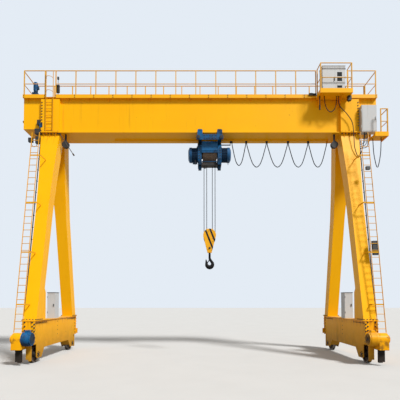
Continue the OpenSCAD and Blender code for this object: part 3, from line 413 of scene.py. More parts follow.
# places that the patterns keep to, in metres
marks = {
    # brown runs: they begin at the first height and end at the second
    "legRuns": (9.75, 10.38),
    "truckRuns": (1.45, 1.77),
    "driveFoot": 0.638,             # the drives are black below it
    "wheelAxle": (2.1, 0.35),       # Y and Z
    "wheelTread": (0.303, 0.327),   # radii
    "motorMiddle": 0.46,            # X between the hoist's motor and gear
    "motorRibs": (0.56, 0.84),      # from that middle, on both sides
    "barSlope": (0.93, 0.37),       # the block's bars: how X and Z count in their slant
    "bars": (2.669, 2.448),         # and each one's middle line
    "barHalf": 0.04,
}


def enamel(name, kind, wear, streaks, low=0.0):
    # brushed enamel on steel plate; low is the height over which road dirt fades out, if there is any
    paint = Paint(name, 0.15)
    broad = paint.noise(0.35, 3.0)
    fine = paint.noise(2.6, 5.0, shift=(7, 3, 1))
    tone = paint.mix(((broad - 0.3) * 1.1 + (fine - 0.5) * 0.35).clip(), *tones[kind])
    # rain carries dust down the plates in thin lines
    lines = paint.noise(1.0, 4.0, stretch=(9, 9, 0.5), shift=(2, 5, 8)).above(0.54, 0.16)
    patch = paint.noise(0.55, 2.0, shift=(4, 4, 4)).above(0.46, 0.2)
    rain = lines * patch * (streaks * 0.5)
    tone = paint.mix(rain, tone, stains["rain"])
    # brown runs below the legs' head flanges and the trucks' top plates
    runs = paint.noise(1.0, 4.0, stretch=(13, 13, 0.6), shift=(6, 1, 3)).above(0.5, 0.1)
    (legFoot, legHead), (truckFoot, truckHead) = marks["legRuns"], marks["truckRuns"]
    heads = paint.z.above(legFoot, 0.6) * paint.z.below(legHead, 0.01)
    tops = paint.z.above(truckFoot, 0.3) * paint.z.below(truckHead, 0.01)
    tone = paint.mix(runs * (heads + tops) * streaks, tone, stains["runs"])
    # dust lies on what faces up
    up = paint.facing("Z").above(0.5, 0.4)
    dust = up * (0.25 + paint.noise(1.8, 4.0) * 0.5)
    tone = paint.mix(dust, tone, stains["dust"])
    # chips through to primer and rust, in round spots and where a second broad noise is high
    spots = paint.cells(7.0).below(0.16, 0.05)
    rusty = paint.noise(0.9, 5.0, shift=(9, 1, 6)).above(0.66 - wear * 0.12, 0.06)
    chips = paint.noise(11.0, 6.0, shift=(3, 8, 2)).above(0.66, 0.03)
    rust = (spots * chips + rusty * chips).clip() * wear
    tone = paint.mix(rust, tone, stains["rust"])
    rough = 0.36 + fine * 0.16 + rain * 0.3 + dust * 0.3 + rust * 0.3
    if low:
        mud = paint.z.below(0.25, low) * (0.3 + paint.noise(3.2, 5.0, shift=(1, 2, 9)) * 0.9)
        mud = mud.math("MULTIPLY", mud, 0.75, True)
        tone = paint.mix(mud, tone, stains["mud"])
        rough = rough + mud * 0.25
    paint.set("Base Color", tone)
    paint.set("Roughness", rough.clip())
    paint.set("Coat Weight", (1.0 - dust - rust).clip() * 0.06)
    paint.set("Coat Roughness", 0.3)
    sag = paint.bump(paint.noise(0.8, 2.0), 0.25, 0.02)
    peel = paint.bump(paint.noise(90.0, 2.0) * 0.4 - rust, 0.12, 0.004, sag)
    paint.set("Normal", peel)
    return paint.material


def chequerEnamel():
    # the deck's plate: raised lozenges, worn bare on their tops in patches
    paint = Paint("chequerEnamel", 0.3)
    up = paint.facing("Z").above(0.5, 0.4)
    along = (paint.x * 50.0 + paint.y * 50.0).wave()
    across = (paint.x * 50.0 - paint.y * 50.0).wave()
    lozenge = (along * across).above(0.35, 0.2) * up
    worn = paint.noise(2.2, 5.0, shift=(3, 1, 2)).above(0.52, 0.12) * lozenge
    dirt = paint.noise(1.1, 5.0) * up
    tone = paint.mix(dirt * 0.8, *tones["deck"])
    paint.set("Base Color", paint.mix(worn * 0.7, tone, stains["bareDeck"]))
    paint.set("Roughness", (0.42 + dirt * 0.3).clip())
    paint.set("Normal", paint.bump(lozenge, 0.5, 0.004))
    return paint.material


def railEnamel():
    # thinner coat on tubes, worn bare in patches
    paint = Paint("railEnamel", 0.3)
    broad = paint.noise(0.8, 3.0)
    worn = paint.noise(5.0, 5.0, shift=(2, 2, 5)).above(0.6, 0.1)
    tone = paint.mix(broad, *tones["rail"])
    tone = paint.mix(worn * 0.35, tone, stains["wornRail"])
    paint.set("Base Color", tone)
    paint.set("Roughness", 0.4 + worn * 0.3)
    paint.set("Normal", paint.bump(paint.noise(70.0, 2.0) - worn, 0.15, 0.003))
    return paint.material


def darkSteel(name, kind, metal=0.3, gloss=0.4, rusty=0.3):
    # dark paint or bare iron with brown rust; metal is how much of it shines through
    paint = Paint(name, gloss)
    grime = paint.noise(4.0, 5.0)
    rust = paint.noise(1.6, 6.0, shift=(4, 4, 1)).above(0.56, 0.08)
    tone = paint.mix(grime, *tones[kind])
    paint.set("Base Color", paint.mix(rust * rusty, tone, stains["ironRust"]))
    paint.set("Roughness", 0.42 + grime * 0.3)
    paint.set("Metallic", (metal - grime * metal - rust).clip())
    paint.set("Normal", paint.bump(paint.noise(60.0, 4.0), 0.25, 0.003))
    return paint.material


def wheelFinish():
    # bright rolled tread, brown web: both follow the distance from the axle
    paint = Paint("wheelSteel", 0.5)
    (axleY, axleZ), (inner, outer) = marks["wheelAxle"], marks["wheelTread"]
    back = paint.y.size() - axleY
    rise = paint.z - axleZ
    out = (back * back + rise * rise).root()
    tread = out.above(inner, 0.01) * out.below(outer, 0.01)
    scale = paint.noise(9.0, 6.0)
    grease = out.below(0.14, 0.05)
    brown = paint.mix(scale, *tones["wheel"])
    tone = paint.mix(tread * (0.5 + scale * 0.5), brown, stains["tread"])
    paint.set("Base Color", paint.mix(grease * 0.8, tone, stains["grease"]))
    paint.set("Metallic", tread * 0.9)
    paint.set("Roughness", (0.62 - tread * 0.32 - grease * 0.2 + scale * 0.15).clip())
    paint.set("Normal", paint.bump(scale, 0.35, 0.004))
    return paint.material


def hoistFinish():
    # blue enamel: pale where it is rubbed, oily black in broad patches, and painted shade on what faces down
    paint = Paint("hoistEnamel", 0.3)
    broad = paint.noise(2.2, 4.0, shift=(3, 1, 4))
    fine = paint.noise(9.0, 5.0, shift=(1, 8, 2))
    tone = paint.mix(((broad - 0.35) * 2.2).clip(), *tones["hoist"])
    oil = (broad.above(0.46, 0.14) * 0.6 + fine.above(0.54, 0.1) * 0.5).clip()
    tone = paint.mix(oil, tone, stains["hoistOil"])
    # painted shade: faces that look down are darkened
    shadeBelow = (paint.facing("Z") * -1.0).above(0.4, 0.3)
    tone = paint.mix(shadeBelow * 0.7, tone, stains["hoistShadeBelow"])
    rub = paint.noise(12.0, 6.0, shift=(5, 2, 9)).above(0.68, 0.03)
    paint.set("Base Color", paint.mix(rub * 0.6, tone, stains["hoistRub"]))
    paint.set("Roughness", (0.34 + oil * 0.3 + fine * 0.1).clip())
    paint.set("Normal", paint.bump(paint.noise(80.0, 2.0), 0.12, 0.003))
    return paint.material


def gearFinish():
    # the drives' housings: enamel above, black paint on the feet below them
    paint = Paint("driveEnamel", 0.15)
    broad = paint.noise(1.4, 4.0)
    tone = paint.mix(broad, *tones["drive"])
    grime = paint.noise(3.4, 6.0, shift=(2, 2, 7)).above(0.5, 0.12) * paint.z.below(1.25, 0.6)
    tone = paint.mix(grime * 0.7, tone, stains["driveGrime"])
    feet = paint.z.below(marks["driveFoot"], 0.004)
    foot = paint.mix(paint.noise(8.0, 5.0), *tones["driveFoot"])
    paint.set("Base Color", paint.mix(feet, tone, foot))
    paint.set("Roughness", (0.4 + grime * 0.3 + feet * 0.15).clip())
    paint.set("Normal", paint.bump(paint.noise(70.0, 2.0), 0.15, 0.004))
    return paint.material


def motorFinish():
    # the hoist's motors: smooth bright ends, and painted shade between the ribs of the middle parts
    paint = Paint("motorEnamel", 0.4)
    first, last = marks["motorRibs"]
    middle = (paint.x - marks["motorMiddle"]).size()
    ribs = middle.above(first, 0.01) * middle.below(last, 0.01)
    broad = paint.noise(1.6, 4.0)
    # painted shade: the ribbed parts are darkened, mottled by noise
    ribShade = (paint.noise(7.0, 5.0, shift=(2, 3, 3)) * 0.5 + 0.5) * ribs
    tone = paint.mix(broad, *tones["motor"])
    tone = paint.mix(ribShade * 0.8, tone, stains["motorRibShade"])
    rub = paint.noise(8.0, 6.0, shift=(1, 7, 2)).above(0.68, 0.04)
    paint.set("Base Color", paint.mix(rub * 0.5, tone, stains["motorRub"]))
    paint.set("Roughness", (0.36 + ribShade * 0.3 + broad * 0.1).clip())
    paint.set("Normal", paint.bump(paint.noise(80.0, 2.0), 0.12, 0.003))
    return paint.material


def ropeOnDrum():
    # oiled strands: fine lines of painted shade across each turn of the rope
    paint = Paint("drumRope", 0.5)
    strands = (paint.y * 300.0 + paint.z * 300.0 + paint.x * 260.0).wave()
    oil = paint.noise(6.0, 4.0)
    tone = paint.mix(oil, *tones["drumRope"])
    # painted shade in the grooves between the strands
    paint.set("Base Color", paint.mix((strands * 0.25 + 0.25).clip(), tone, stains["strandShade"]))
    paint.set("Metallic", 0.2)
    paint.set("Roughness", (0.4 + oil * 0.25).clip())
    paint.set("Normal", paint.bump(strands, 0.4, 0.003))
    return paint.material


def wireFinish():
    # dark oiled wire of the falls
    paint = Paint("wireStrand", 0.5)
    oil = paint.noise(9.0, 4.0, stretch=(1, 1, 0.3))
    paint.set("Base Color", paint.mix(oil, *tones["wire"]))
    paint.set("Metallic", (0.4 - oil * 0.3).clip())
    paint.set("Roughness", (0.35 + oil * 0.3).clip())
    paint.set("Normal", paint.bump(paint.noise(500.0, 2.0), 0.3, 0.001))
    return paint.material


def blockFinish():
    # the block's cheeks: yellow with two black slanting bars, scuffed bare
    paint = Paint("blockEnamel", 0.35)
    broad = paint.noise(2.5, 4.0)
    tone = paint.mix(broad, *tones["block"])
    slopeX, slopeZ = marks["barSlope"]
    slant = paint.x * slopeX + paint.z * slopeZ
    first, second = ((slant - middle).size().below(marks["barHalf"], 0.006) for middle in marks["bars"])
    tone = paint.mix((first + second).clip(), tone, stains["bars"])
    scuff = paint.noise(9.0, 6.0, shift=(5, 2, 1)).above(0.6, 0.05)
    paint.set("Base Color", paint.mix(scuff * 0.6, tone, stains["blockScuff"]))
    paint.set("Roughness", (0.4 + scuff * 0.3).clip())
    paint.set("Normal", paint.bump(paint.noise(60.0, 3.0) - scuff, 0.2, 0.003))
    return paint.material


def cabinetFinish():
    # powder coat: fine pebbled skin, rain marks from the roof, dust on what faces up and a second grey in broad
    # patches
    paint = Paint("cabinetCoat", 0.35)
    broad = paint.noise(1.2, 3.0)
    tone = paint.mix(broad, *tones["cabinet"])
    rain = paint.noise(1.0, 3.0, stretch=(14, 14, 0.8)).above(0.56, 0.2)
    tone = paint.mix(rain * 0.4, tone, stains["cabinetRain"])
    dust = paint.facing("Z").above(0.5, 0.3) * (0.3 + broad * 0.5)
    tone = paint.mix(dust, tone, stains["cabinetDust"])
    paint.set("Base Color", tone)
    paint.set("Roughness", (0.48 + rain * 0.2 + dust * 0.2).clip())
    paint.set("Normal", paint.bump(paint.noise(400.0, 2.0), 0.1, 0.001))
    return paint.material


def glassFinish():
    # dusty instrument glass
    paint = Paint("windowGlass", 0.12)
    dust = paint.noise(12.0, 4.0)
    paint.set("Base Color", paint.mix(dust * 0.25, *tones["glass"]))
    paint.set("Roughness", 0.3 + dust * 0.2)
    return paint.material


yellow = enamel("craneEnamel", "crane", 0.4, 0.45)
driveYellow = gearFinish()
truckYellow = enamel("truckEnamel", "truck", 0.8, 0.8, 1.3)
blue = hoistFinish()
chequer = chequerEnamel()
railPaint = railEnamel()
cabinetCoat = cabinetFinish()
glass = glassFinish()
darkPaint = darkSteel("darkSteel", "darkSteel")
boltSteel = darkSteel("boltSteel", "boltSteel", 0.4)
blackPlastic = darkSteel("blackPlastic", "plastic", 0.0)
hookBlack = darkSteel("hookBlack", "hook", 0.0, 0.15, 0.06)
greyCast = darkSteel("greyCast", "greyCast", 0.4)
wheelSteel = wheelFinish()
motorBlue = motorFinish()
drumRope = ropeOnDrum()
wireStrand = wireFinish()
blockYellow = blockFinish()

dress(yellow, "leg_front_left", "leg_back_left", "leg_front_right", "leg_back_right", "saddle_left",
      "saddle_right", "girder", "lower_flange", "balcony", "landing", "cable_rail")
dress(chequer, "walkway_deck")
dress(truckYellow, "truck_left", "truck_right", "travel_motor_right")
dress(driveYellow, "gear_case_left", "gear_case_right")
dress(railPaint, "railing_front", "railing_back", "railing_ends", "balcony_railing", "landing_railing",
      "ladder_left", "ladder_right", "girder_ladder")
dress(cabinetCoat, "control_cabinet", "end_cabinet", "end_cabinet_door", "truck_cabinets")
dress(blue, "travel_motor_left", "trolley_frame", "hoist_frame", "drum_cover", "deck_unit")
dress(motorBlue, "hoist_motor", "hoist_gear")
dress(wheelSteel, "wheel_front_left", "wheel_back_left", "wheel_front_right", "wheel_back_right")
dress(darkPaint, "lamp", "junction_boxes", "rope_outlet", "trolley_wheel_front_left",
      "trolley_wheel_front_right", "trolley_wheel_back_left", "trolley_wheel_back_right",
      *(f"cable_carrier_{i}" for i in range(1, 6)))
dress(greyCast, "block_sheave")
dress(drumRope, "rope_drum")
dress(blockYellow, "hook_block")
print("finishes made")


# Forms of one piece, added one by one and turned into a mesh at the end
class Shape:
    def __init__(self, boxes=(), rods=(), tubes=()):
        self.verts = []
        self.faces = []
        for low, high in boxes:
            self.box(low, high)
        for start, end, radius, sides in rods:
            self.rod(start, end, radius, sides)
        for points, radius, step in tubes:
            self.tube(points, radius, step)

    def add(self, verts, faces):
        base = len(self.verts)
        self.verts += [Vector(v) for v in verts]
        self.faces += [tuple(base + i for i in face) for face in faces]

    def box(self, low, high, lean=0.0):
        # lean moves the box along Y as it rises
        corners = []
        for z in (low[2], high[2]):
            shift = lean * (z - low[2])
            corners += [(low[0], low[1] + shift, z), (high[0], low[1] + shift, z),
                        (high[0], high[1] + shift, z), (low[0], high[1] + shift, z)]
        self.add(corners, [(3, 2, 1, 0), (4, 5, 6, 7), (0, 1, 5, 4), (1, 2, 6, 5), (2, 3, 7, 6),
                           (3, 0, 4, 7)])

    def prism(self, outline, axis, start, end):
        # an outline in the two other axes, pushed along one axis
        def place(point, depth):
            spot = list(point)
            spot.insert(axis, depth)
            return Vector(spot)
        count = len(outline)
        area = sum(a[0] * b[1] - b[0] * a[1] for a, b in zip(outline, outline[1:] + outline[:1]))
        if (area > 0) == (axis == 1):
            outline = list(reversed(outline))
        verts = [place(p, start) for p in outline] + [place(p, end) for p in outline]
        faces = [tuple(reversed(range(count))), tuple(range(count, 2 * count))]
        faces += [(i, (i + 1) % count, (i + 1) % count + count, i + count) for i in range(count)]
        self.add(verts, faces)

    def rod(self, start, end, radius, sides, chamfer=0.15):
        # a round bar whose ends are chamfered by a share of its radius
        start, end = Vector(start), Vector(end)
        edge = min(radius * chamfer, (end - start).length / 3)
        way = (end - start).normalized()
        path = [start, start + way * edge, end - way * edge, end]
        reach = [radius - edge, radius, radius, radius - edge]
        self.add(*tubeMesh(path, lambda i: reach[i], sides))

    def tube(self, points, radius, step):
        self.add(*tubeMesh(smoothPath(points, step), radius, 10))

    def ring(self, centre, radius, thickness, axis, sides):
        # a round bar bent into a ring about an axis
        verts, faces = [], []
        for angle in (2 * math.pi * i / sides for i in range(sides)):
            for k in range(8):
                tilt = 2 * math.pi * k / 8
                reach = radius + thickness * math.cos(tilt)
                flat = [reach * math.cos(angle), reach * math.sin(angle)]
                flat.insert(axis, thickness * math.sin(tilt))
                verts.append(Vector(centre) + Vector(flat))
        for i in range(sides):
            for k in range(8):
                a, b = i * 8 + k, i * 8 + (k + 1) % 8
                c, d = (i + 1) % sides * 8 + k, (i + 1) % sides * 8 + (k + 1) % 8
                faces.append((a, b, d, c) if axis == 1 else (a, c, d, b))
        self.add(verts, faces)

    def piece(self, name, material, body, slot, edge=0.004, replaces=()):
        made = makePiece(name, self.verts, self.faces, material, True)
        made.data.set_sharp_from_angle(angle=math.radians(35))
        if edge:
            bevel = made.modifiers.new("edge", "BEVEL")
            bevel.width = edge
            bevel.limit_method = "ANGLE"
            bevel.angle_limit = math.radians(50)
            bevel.harden_normals = True
        if replaces:
            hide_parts(*replaces)
        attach(made, body)
        return made


def both(width):
    return (-width, width)


leftRight = ((-1, "Left"), (1, "Right"))


# Bolts: every bolt is one point with the way its head faces, and Geometry Nodes put a head on each
bolt = {
    "head": 0.024,          # metres, from the middle to a corner of the hexagon
    "height": 0.020,
    "washer": 0.032,
    "washerHeight": 0.006,
    "turn": 1.05,           # the most that a head is turned, in radians
    "seed": 7,              # for the turn of each head
}
boltSizes = ("head", "height", "washer", "washerHeight")


def makeBoltTree():
    group = bpy.data.node_groups.new("boltScatter", "GeometryNodeTree")

    def socket(name, kind, way="INPUT"):
        return group.interface.new_socket(name, in_out=way, socket_type="NodeSocket" + kind).identifier

    socket("points", "Geometry")
    keys = {name: socket(name, "Float") for name in boltSizes}
    keys["material"] = socket("material", "Material")
    socket("bolts", "Geometry", "OUTPUT")
    tree = Tree(group)
    given = tree.add("NodeGroupInput")

    def disc(vertices, radius, depth, lift):
        # a head or a washer, lifted off the plate
        solid = tree.add("GeometryNodeMeshCylinder", {}, {"Vertices": vertices, "Radius": given.out(radius),
                                                          "Depth": given.out(depth)})
        place = tree.add("ShaderNodeCombineXYZ", {}, {"Z": lift})
        moved = {"Geometry": solid.out("Mesh"), "Translation": place.out(0)}
        return tree.add("GeometryNodeTransform", {}, moved)

    head = disc(6, "head", "height", given.out("washerHeight") + given.out("height") / 2)
    washer = disc(12, "washer", "washerHeight", given.out("washerHeight") / 2)
    joined = tree.add("GeometryNodeJoinGeometry")
    for part in (head, washer):
        group.links.new(part.out(0).socket, joined.node.inputs[0])
    facing = tree.add("GeometryNodeInputNamedAttribute", {"data_type": "FLOAT_VECTOR"}, {"Name": "facing"})
    aligned = tree.add("FunctionNodeAlignRotationToVector", {"axis": "Z"}, {"Vector": facing.out("Attribute")})
    turn = tree.add("FunctionNodeRandomValue", {"data_type": "FLOAT"},
                    {2: 0.0, 3: bolt["turn"], "Seed": bolt["seed"]})
    spin = tree.add("FunctionNodeAxisAngleToRotation", {}, {"Axis": (0, 0, 1), "Angle": turn.out(1)})
    turned = tree.add("FunctionNodeRotateRotation", {"rotation_space": "LOCAL"},
                      {"Rotation": aligned.out(0), "Rotate By": spin.out(0)})
    size = tree.add("GeometryNodeInputNamedAttribute", {"data_type": "FLOAT"}, {"Name": "size"})
    placed = tree.add("GeometryNodeInstanceOnPoints", {}, {
        "Points": given.out("points"), "Instance": joined.out(0), "Rotation": turned.out(0),
        "Scale": size.out("Attribute")})
    real = tree.add("GeometryNodeRealizeInstances", {}, {0: placed.out(0)})
    painted = tree.add("GeometryNodeSetMaterial", {},
                       {"Geometry": real.out(0), "Material": given.out("material")})
    tree.add("NodeGroupOutput", {}, {0: painted.out(0)})
    return group, keys


boltSpots = {}      # body: list of (place, facing, size)


def boltRow(body, first, last, count, facing, size):
    first, last = Vector(first), Vector(last)
    row = boltSpots.setdefault(body, [])
    for i in range(count):
        row.append((first.lerp(last, i / max(count - 1, 1)), facing, size))


def boltCircle(body, centre, radius, count, way, size):
    # a ring of bolts that face along X
    row = boltSpots.setdefault(body, [])
    for i in range(count):
        angle = 2 * math.pi * (i + 0.5) / count
        spot = Vector((0, radius * math.cos(angle), radius * math.sin(angle)))
        row.append((Vector(centre) + spot, (way, 0, 0), size))


def scatterBolts(materials):
    group, keys = makeBoltTree()
    for body, spots in boltSpots.items():
        mesh = bpy.data.meshes.new(body + "BoltPoints")
        mesh.from_pydata([spot[0] for spot in spots], [], [])
        facing = mesh.attributes.new("facing", "FLOAT_VECTOR", "POINT")
        facing.data.foreach_set("vector", [c for spot in spots for c in spot[1]])
        size = mesh.attributes.new("size", "FLOAT", "POINT")
        size.data.foreach_set("value", [spot[2] for spot in spots])
        carrier = bpy.data.objects.new(body + "BoltPoints", mesh)
        scene.collection.objects.link(carrier)
        modifier = carrier.modifiers.new("bolts", "NODES")
        modifier.node_group = group
        for name in boltSizes:
            modifier[keys[name]] = bolt[name]
        modifier[keys["material"]] = materials[body]
        graph = bpy.context.evaluated_depsgraph_get()
        result = bpy.data.meshes.new_from_object(carrier.evaluated_get(graph))
        bpy.data.objects.remove(carrier)
        made = bpy.data.objects.new(body + "Bolts", result)
        scene.collection.objects.link(made)
        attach(made, body)
        print(body, "bolts:", len(spots))


# Places on the crane that the details share, in metres
crane = {
    "truckX": 7.0,                 # of the trucks, from the middle
    "legFace": (2.42, 0.62),       # a leg's outer face at its foot and its head
    "legHeights": (1.796, 10.38),
    "legWidths": (0.265, 0.43),    # half a leg's width at its foot and its head
    "ladderFace": (2.70, 1.32),    # a ladder's foot and head
    "ladderHeights": (1.30, 10.13),
}
hoist = {
    "middle": 0.46,                # X between its two end frames
    "axle": 9.6,                   # height of its drum
}


def between(z, heights, values):
    # a measure that changes evenly from one height to the other
    low, high = crane[heights]
    first, last = crane[values]
    return first + (z - low) / (high - low) * (last - first)


def legY(z):
    return -between(z, "legHeights", "legFace")


def legHalf(z):
    return between(z, "legHeights", "legWidths")


def ladderY(z):
    return -between(z, "ladderHeights", "ladderFace")


# A standing row is X from the truck's middle, first and last bolt as (Y, Z), count and size.
# A cross row is half its length in X, then Y, Z, count and size.
truckBolts = {
    "endRows": ((0.155, (2.56, 1.368), (2.56, 1.70), 3, 1.1), (0.24, (2.56, 1.332), (2.56, 1.62), 3, 1.1)),
    "flangeSide": (0.3, (2.42, 1.796), (1.95, 1.796), 4, 1.2),
    "flangeFront": (0.25, 2.455, 1.796, 5, 1.2),
    "sideRows": ((0.22, (1.35, 1.66), (2.45, 1.66), 9, 0.8), (0.22, (2.47, 0.90), (2.47, 1.55), 5, 1.0)),
    "seam": (0.22, (0, 1.02), (0, 1.62), 4, 0.6),
    "bearing": (0.22, 2.1, 0.35),      # X from the truck's middle, Y and Z
    "bearingRing": 0.105,
}
saddleBolts = {
    "flange": (0.37, 0.69, 10.45, 6, 1.2),
    "legHead": (0.37, 0.68, 10.38, 6, 1.2),
    "edge": (0.385, (0.665, 10.75), (0.665, 11.85), 9, 1.0),
    # the limit switch covers the lowest place of this row
    "edgeAtSwitch": (0.385, (0.665, 10.8875), (0.665, 11.85), 8, 1.0),
    "girderEnd": (8.3, 0.45, 10.8, 11.95),     # X, Y, lowest and highest
}
toeBoardBolts = {
    "heights": (12.11, 12.20),
    "front": (-0.66, 0.7),      # Y and size
    "back": (0.66, 0.5),
    "runs": ((-8.26, -7.24), (-6.78, 4.90), (6.92, 8.26)),      # the front board's stretches in X
    "margin": 0.02,
    "bay": 0.93,
    "backReach": 8.24,
    "backCount": 19,
}
hoistBolts = {
    "ringX": 0.56,              # the motor's and the gear's flange, from the hoist's middle
    "ring": 0.31,
    "frame": (0.5, 0.362, -0.26, 0.24),     # X, Y, lowest and highest from the axle
    "plate": (0.26, 0.652),     # half the row's length, and Y
    "plateHeights": (10.16, 10.30),
    "blockAxle": (0.083, 5.1),  # Y and Z
}


def standingRow(truckX, way, end, row, facing):
    x, first, last, count, size = row
    x = truckX + way * x
    boltRow("portal", (x, end * first[0], first[1]), (x, end * last[0], last[1]), count, facing, size)


def crossRow(truckX, end, row, up):
    x, y, z, count, size = row
    boltRow("portal", (truckX - x, end * y, z), (truckX + x, end * y, z), count, (0, 0, up), size)


def boltTrucks():
    # the trucks' ends, foot flanges, bearings and side plates
    x, y, z = truckBolts["bearing"]
    for side in both(1):
        truckX = side * crane["truckX"]
        for end in both(1):
            for row in truckBolts["endRows"]:
                for way in both(1):
                    standingRow(truckX, way, end, row, (0, end, 0))
            for way in both(1):
                standingRow(truckX, way, end, truckBolts["flangeSide"], (0, 0, 1))
            crossRow(truckX, end, truckBolts["flangeFront"], 1)
            for way in both(1):
                boltCircle("portal", (truckX + way * x, end * y, z), truckBolts["bearingRing"], 6, way, 0.8)
                for row in truckBolts["sideRows"]:
                    standingRow(truckX, way, end, row, (way, 0, 0))
        for way in both(1):
            standingRow(truckX, way, 1, truckBolts["seam"], (way, 0, 0))


def boltFrame():
    # the saddles' flanges and edges, the legs' heads and the girder's ends
    x, y, low, high = saddleBolts["girderEnd"]
    for side in both(1):
        truckX = side * crane["truckX"]
        for end in both(1):
            crossRow(truckX, end, saddleBolts["flange"], 1)
            crossRow(truckX, end, saddleBolts["legHead"], -1)
            edge = saddleBolts["edgeAtSwitch" if side < 0 and end < 0 else "edge"]
            standingRow(truckX, side, end, edge, (0, end, 0))
        for way in both(y):
            boltRow("portal", (side * x, way, low), (side * x, way, high), 8, (side, 0, 0), 0.9)


def boltToeBoards():
    low, high = toeBoardBolts["heights"]
    margin = toeBoardBolts["margin"]
    y, size = toeBoardBolts["front"]
    for start, end in toeBoardBolts["runs"]:
        length = end - start - 2 * margin
        bays = max(1, round(length / toeBoardBolts["bay"]))
        for i in range(bays + 1):
            x = start + margin + i * length / bays
            boltRow("portal", (x, y, low), (x, y, high), 2, (0, -1, 0), size)
    y, size = toeBoardBolts["back"]
    reach, count = toeBoardBolts["backReach"], toeBoardBolts["backCount"]
    for i in range(count):
        x = -reach + i * 2 * reach / (count - 1)
        boltRow("portal", (x, y, low), (x, y, high), 2, (0, 1, 0), size)


def boltHoist():
    middle, axle = hoist["middle"], hoist["axle"]
    frameX, frameY, low, high = hoistBolts["frame"]
    plateX, plateY = hoistBolts["plate"]
    blockY, blockZ = hoistBolts["blockAxle"]
    for way in both(1):
        boltCircle("trolley", (middle + way * hoistBolts["ringX"], 0, axle), hoistBolts["ring"], 12, way, 0.8)
        x = middle + way * frameX
        for end in both(1):
            y = end * frameY
            boltRow("trolley", (x, y, axle + low), (x, y, axle + high), 5, (0, end, 0), 0.9)
    for end in both(1):
        for z in hoistBolts["plateHeights"]:
            y = end * plateY
            boltRow("trolley", (middle - plateX, y, z), (middle + plateX, y, z), 5, (0, end, 0), 0.8)
        place = (middle, end * blockY, blockZ)
        boltRow("block", place, place, 1, (0, end, 0), 1.6)


# The hoist's four falls of wire rope, and its run round the sheave
wireRope = {
    "radius": 0.016,
    "layLength": 0.16,      # metres along the rope for one turn of a strand
    "strands": 6,
    "groove": 0.2,          # depth between the strands, as a share of the radius
    "top": 9.1097,
    "frontX": 0.265,        # the falls' places from the hoist's middle
    "rearX": 0.135,
    "rearY": 0.069,
    "axle": 5.57,           # of the sheave, where the front falls end
    "socket": 6.0553,       # where the rear falls end
    "bends": 60,            # steps round the sheave
}


def ropePiece(name, path, material):
    turn = 2 * math.pi / wireRope["layLength"]
    tube = tubeMesh(path, wireRope["radius"], 18, turn, wireRope["strands"], wireRope["groove"])
    rope = makePiece(name, *tube, material, True)
    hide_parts("ropes")
    return rope


def makeRopes(material):
    middle, top = hoist["middle"], wireRope["top"]
    falls = [(middle + x, 0.0, wireRope["axle"]) for x in both(wireRope["frontX"])]
    falls += [(middle + x, wireRope["rearY"], wireRope["socket"]) for x in both(wireRope["rearX"])]
    for i, (x, y, low) in enumerate(falls):
        path = evenPath([Vector((x, y, top)), Vector((x, y, low))], 0.02)
        fall = ropePiece(f"ropeFall{i + 1}", path, material)
        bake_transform(fall)
    radius, count = wireRope["frontX"], wireRope["bends"]
    angles = [math.pi + math.pi * i / count for i in range(count + 1)]
    axle = wireRope["axle"]
    arc = [Vector((middle + radius * math.cos(a), 0.0, axle + radius * math.sin(a))) for a in angles]
    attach(ropePiece("ropeRoundSheave", arc, material), "block")


# The forged hook with its shank, nut and latch
hook = {
    "swivel": 5.03,
    "shank": (0.032, -0.38, 0.12),      # radius, and its two ends from the swivel
    "collar": (0.052, -0.4, -0.17),     # the forging's neck below the block
    "nut": (0.054, 0.046),              # from the middle to a corner, and height
    "nutRise": 0.072,
    # the bar's middle line from the swivel down: X, Z and radius
    "route": ((0, -0.33, 0.048), (0, -0.39, 0.054), (0.02, -0.47, 0.06), (0.072, -0.55, 0.064),
              (0.122, -0.62, 0.07), (0.143, -0.69, 0.078), (0.128, -0.765, 0.088), (0.075, -0.822, 0.098),
              (0, -0.845, 0.102), (-0.075, -0.822, 0.096), (-0.128, -0.765, 0.084), (-0.148, -0.69, 0.068),
              (-0.152, -0.62, 0.054), (-0.162, -0.545, 0.038), (-0.174, -0.47, 0.018)),
    # the latch's cheeks, its pin and the spring between them, all from the swivel
    "latch": ((-0.004, -0.42), (0.03, -0.46), (-0.086, -0.64), (-0.114, -0.625)),
    "cheeks": (-0.03, 0.018),
    "cheek": 0.012,
    "pin": (0.004, -0.455),
    "pinSize": (0.012, 0.045),          # radius and half its length
    "springPitch": 0.008,
    "spring": (0.017, 0.003),           # radii of the coil and of its wire
}


def makeHook(material):
    shape = Shape()
    x, z = hoist["middle"], hook["swivel"]
    bar = smoothPath([(x + dx, 0, z + dz, radius) for dx, dz, radius in hook["route"]], 0.02)
    shape.add(*tubeMesh([p.to_3d() for p in bar], lambda i: bar[i][3], 24))
    for radius, low, high in (hook["shank"], hook["collar"]):
        shape.rod((x, 0, z + low), (x, 0, z + high), radius, 24)
    corner, height = hook["nut"]
    hexagon = [(x + corner * math.cos(math.pi * k / 3), corner * math.sin(math.pi * k / 3)) for k in range(6)]
    shape.prism(hexagon, 2, z + hook["nutRise"], z + hook["nutRise"] + height)
    for y in hook["cheeks"]:
        shape.prism([(x + dx, z + dz) for dx, dz in hook["latch"]], 1, y, y + hook["cheek"])
    pinX, pinZ = x + hook["pin"][0], z + hook["pin"][1]
    radius, half = hook["pinSize"]
    shape.rod((pinX, -half, pinZ), (pinX, half, pinZ), radius, 12)
    for i in range(4):
        shape.ring((pinX, (i - 1.5) * hook["springPitch"], pinZ), *hook["spring"], 1, 16)
    shape.piece("liftingHook", material, "hook", "hook_black", 0.002, ("hook",))


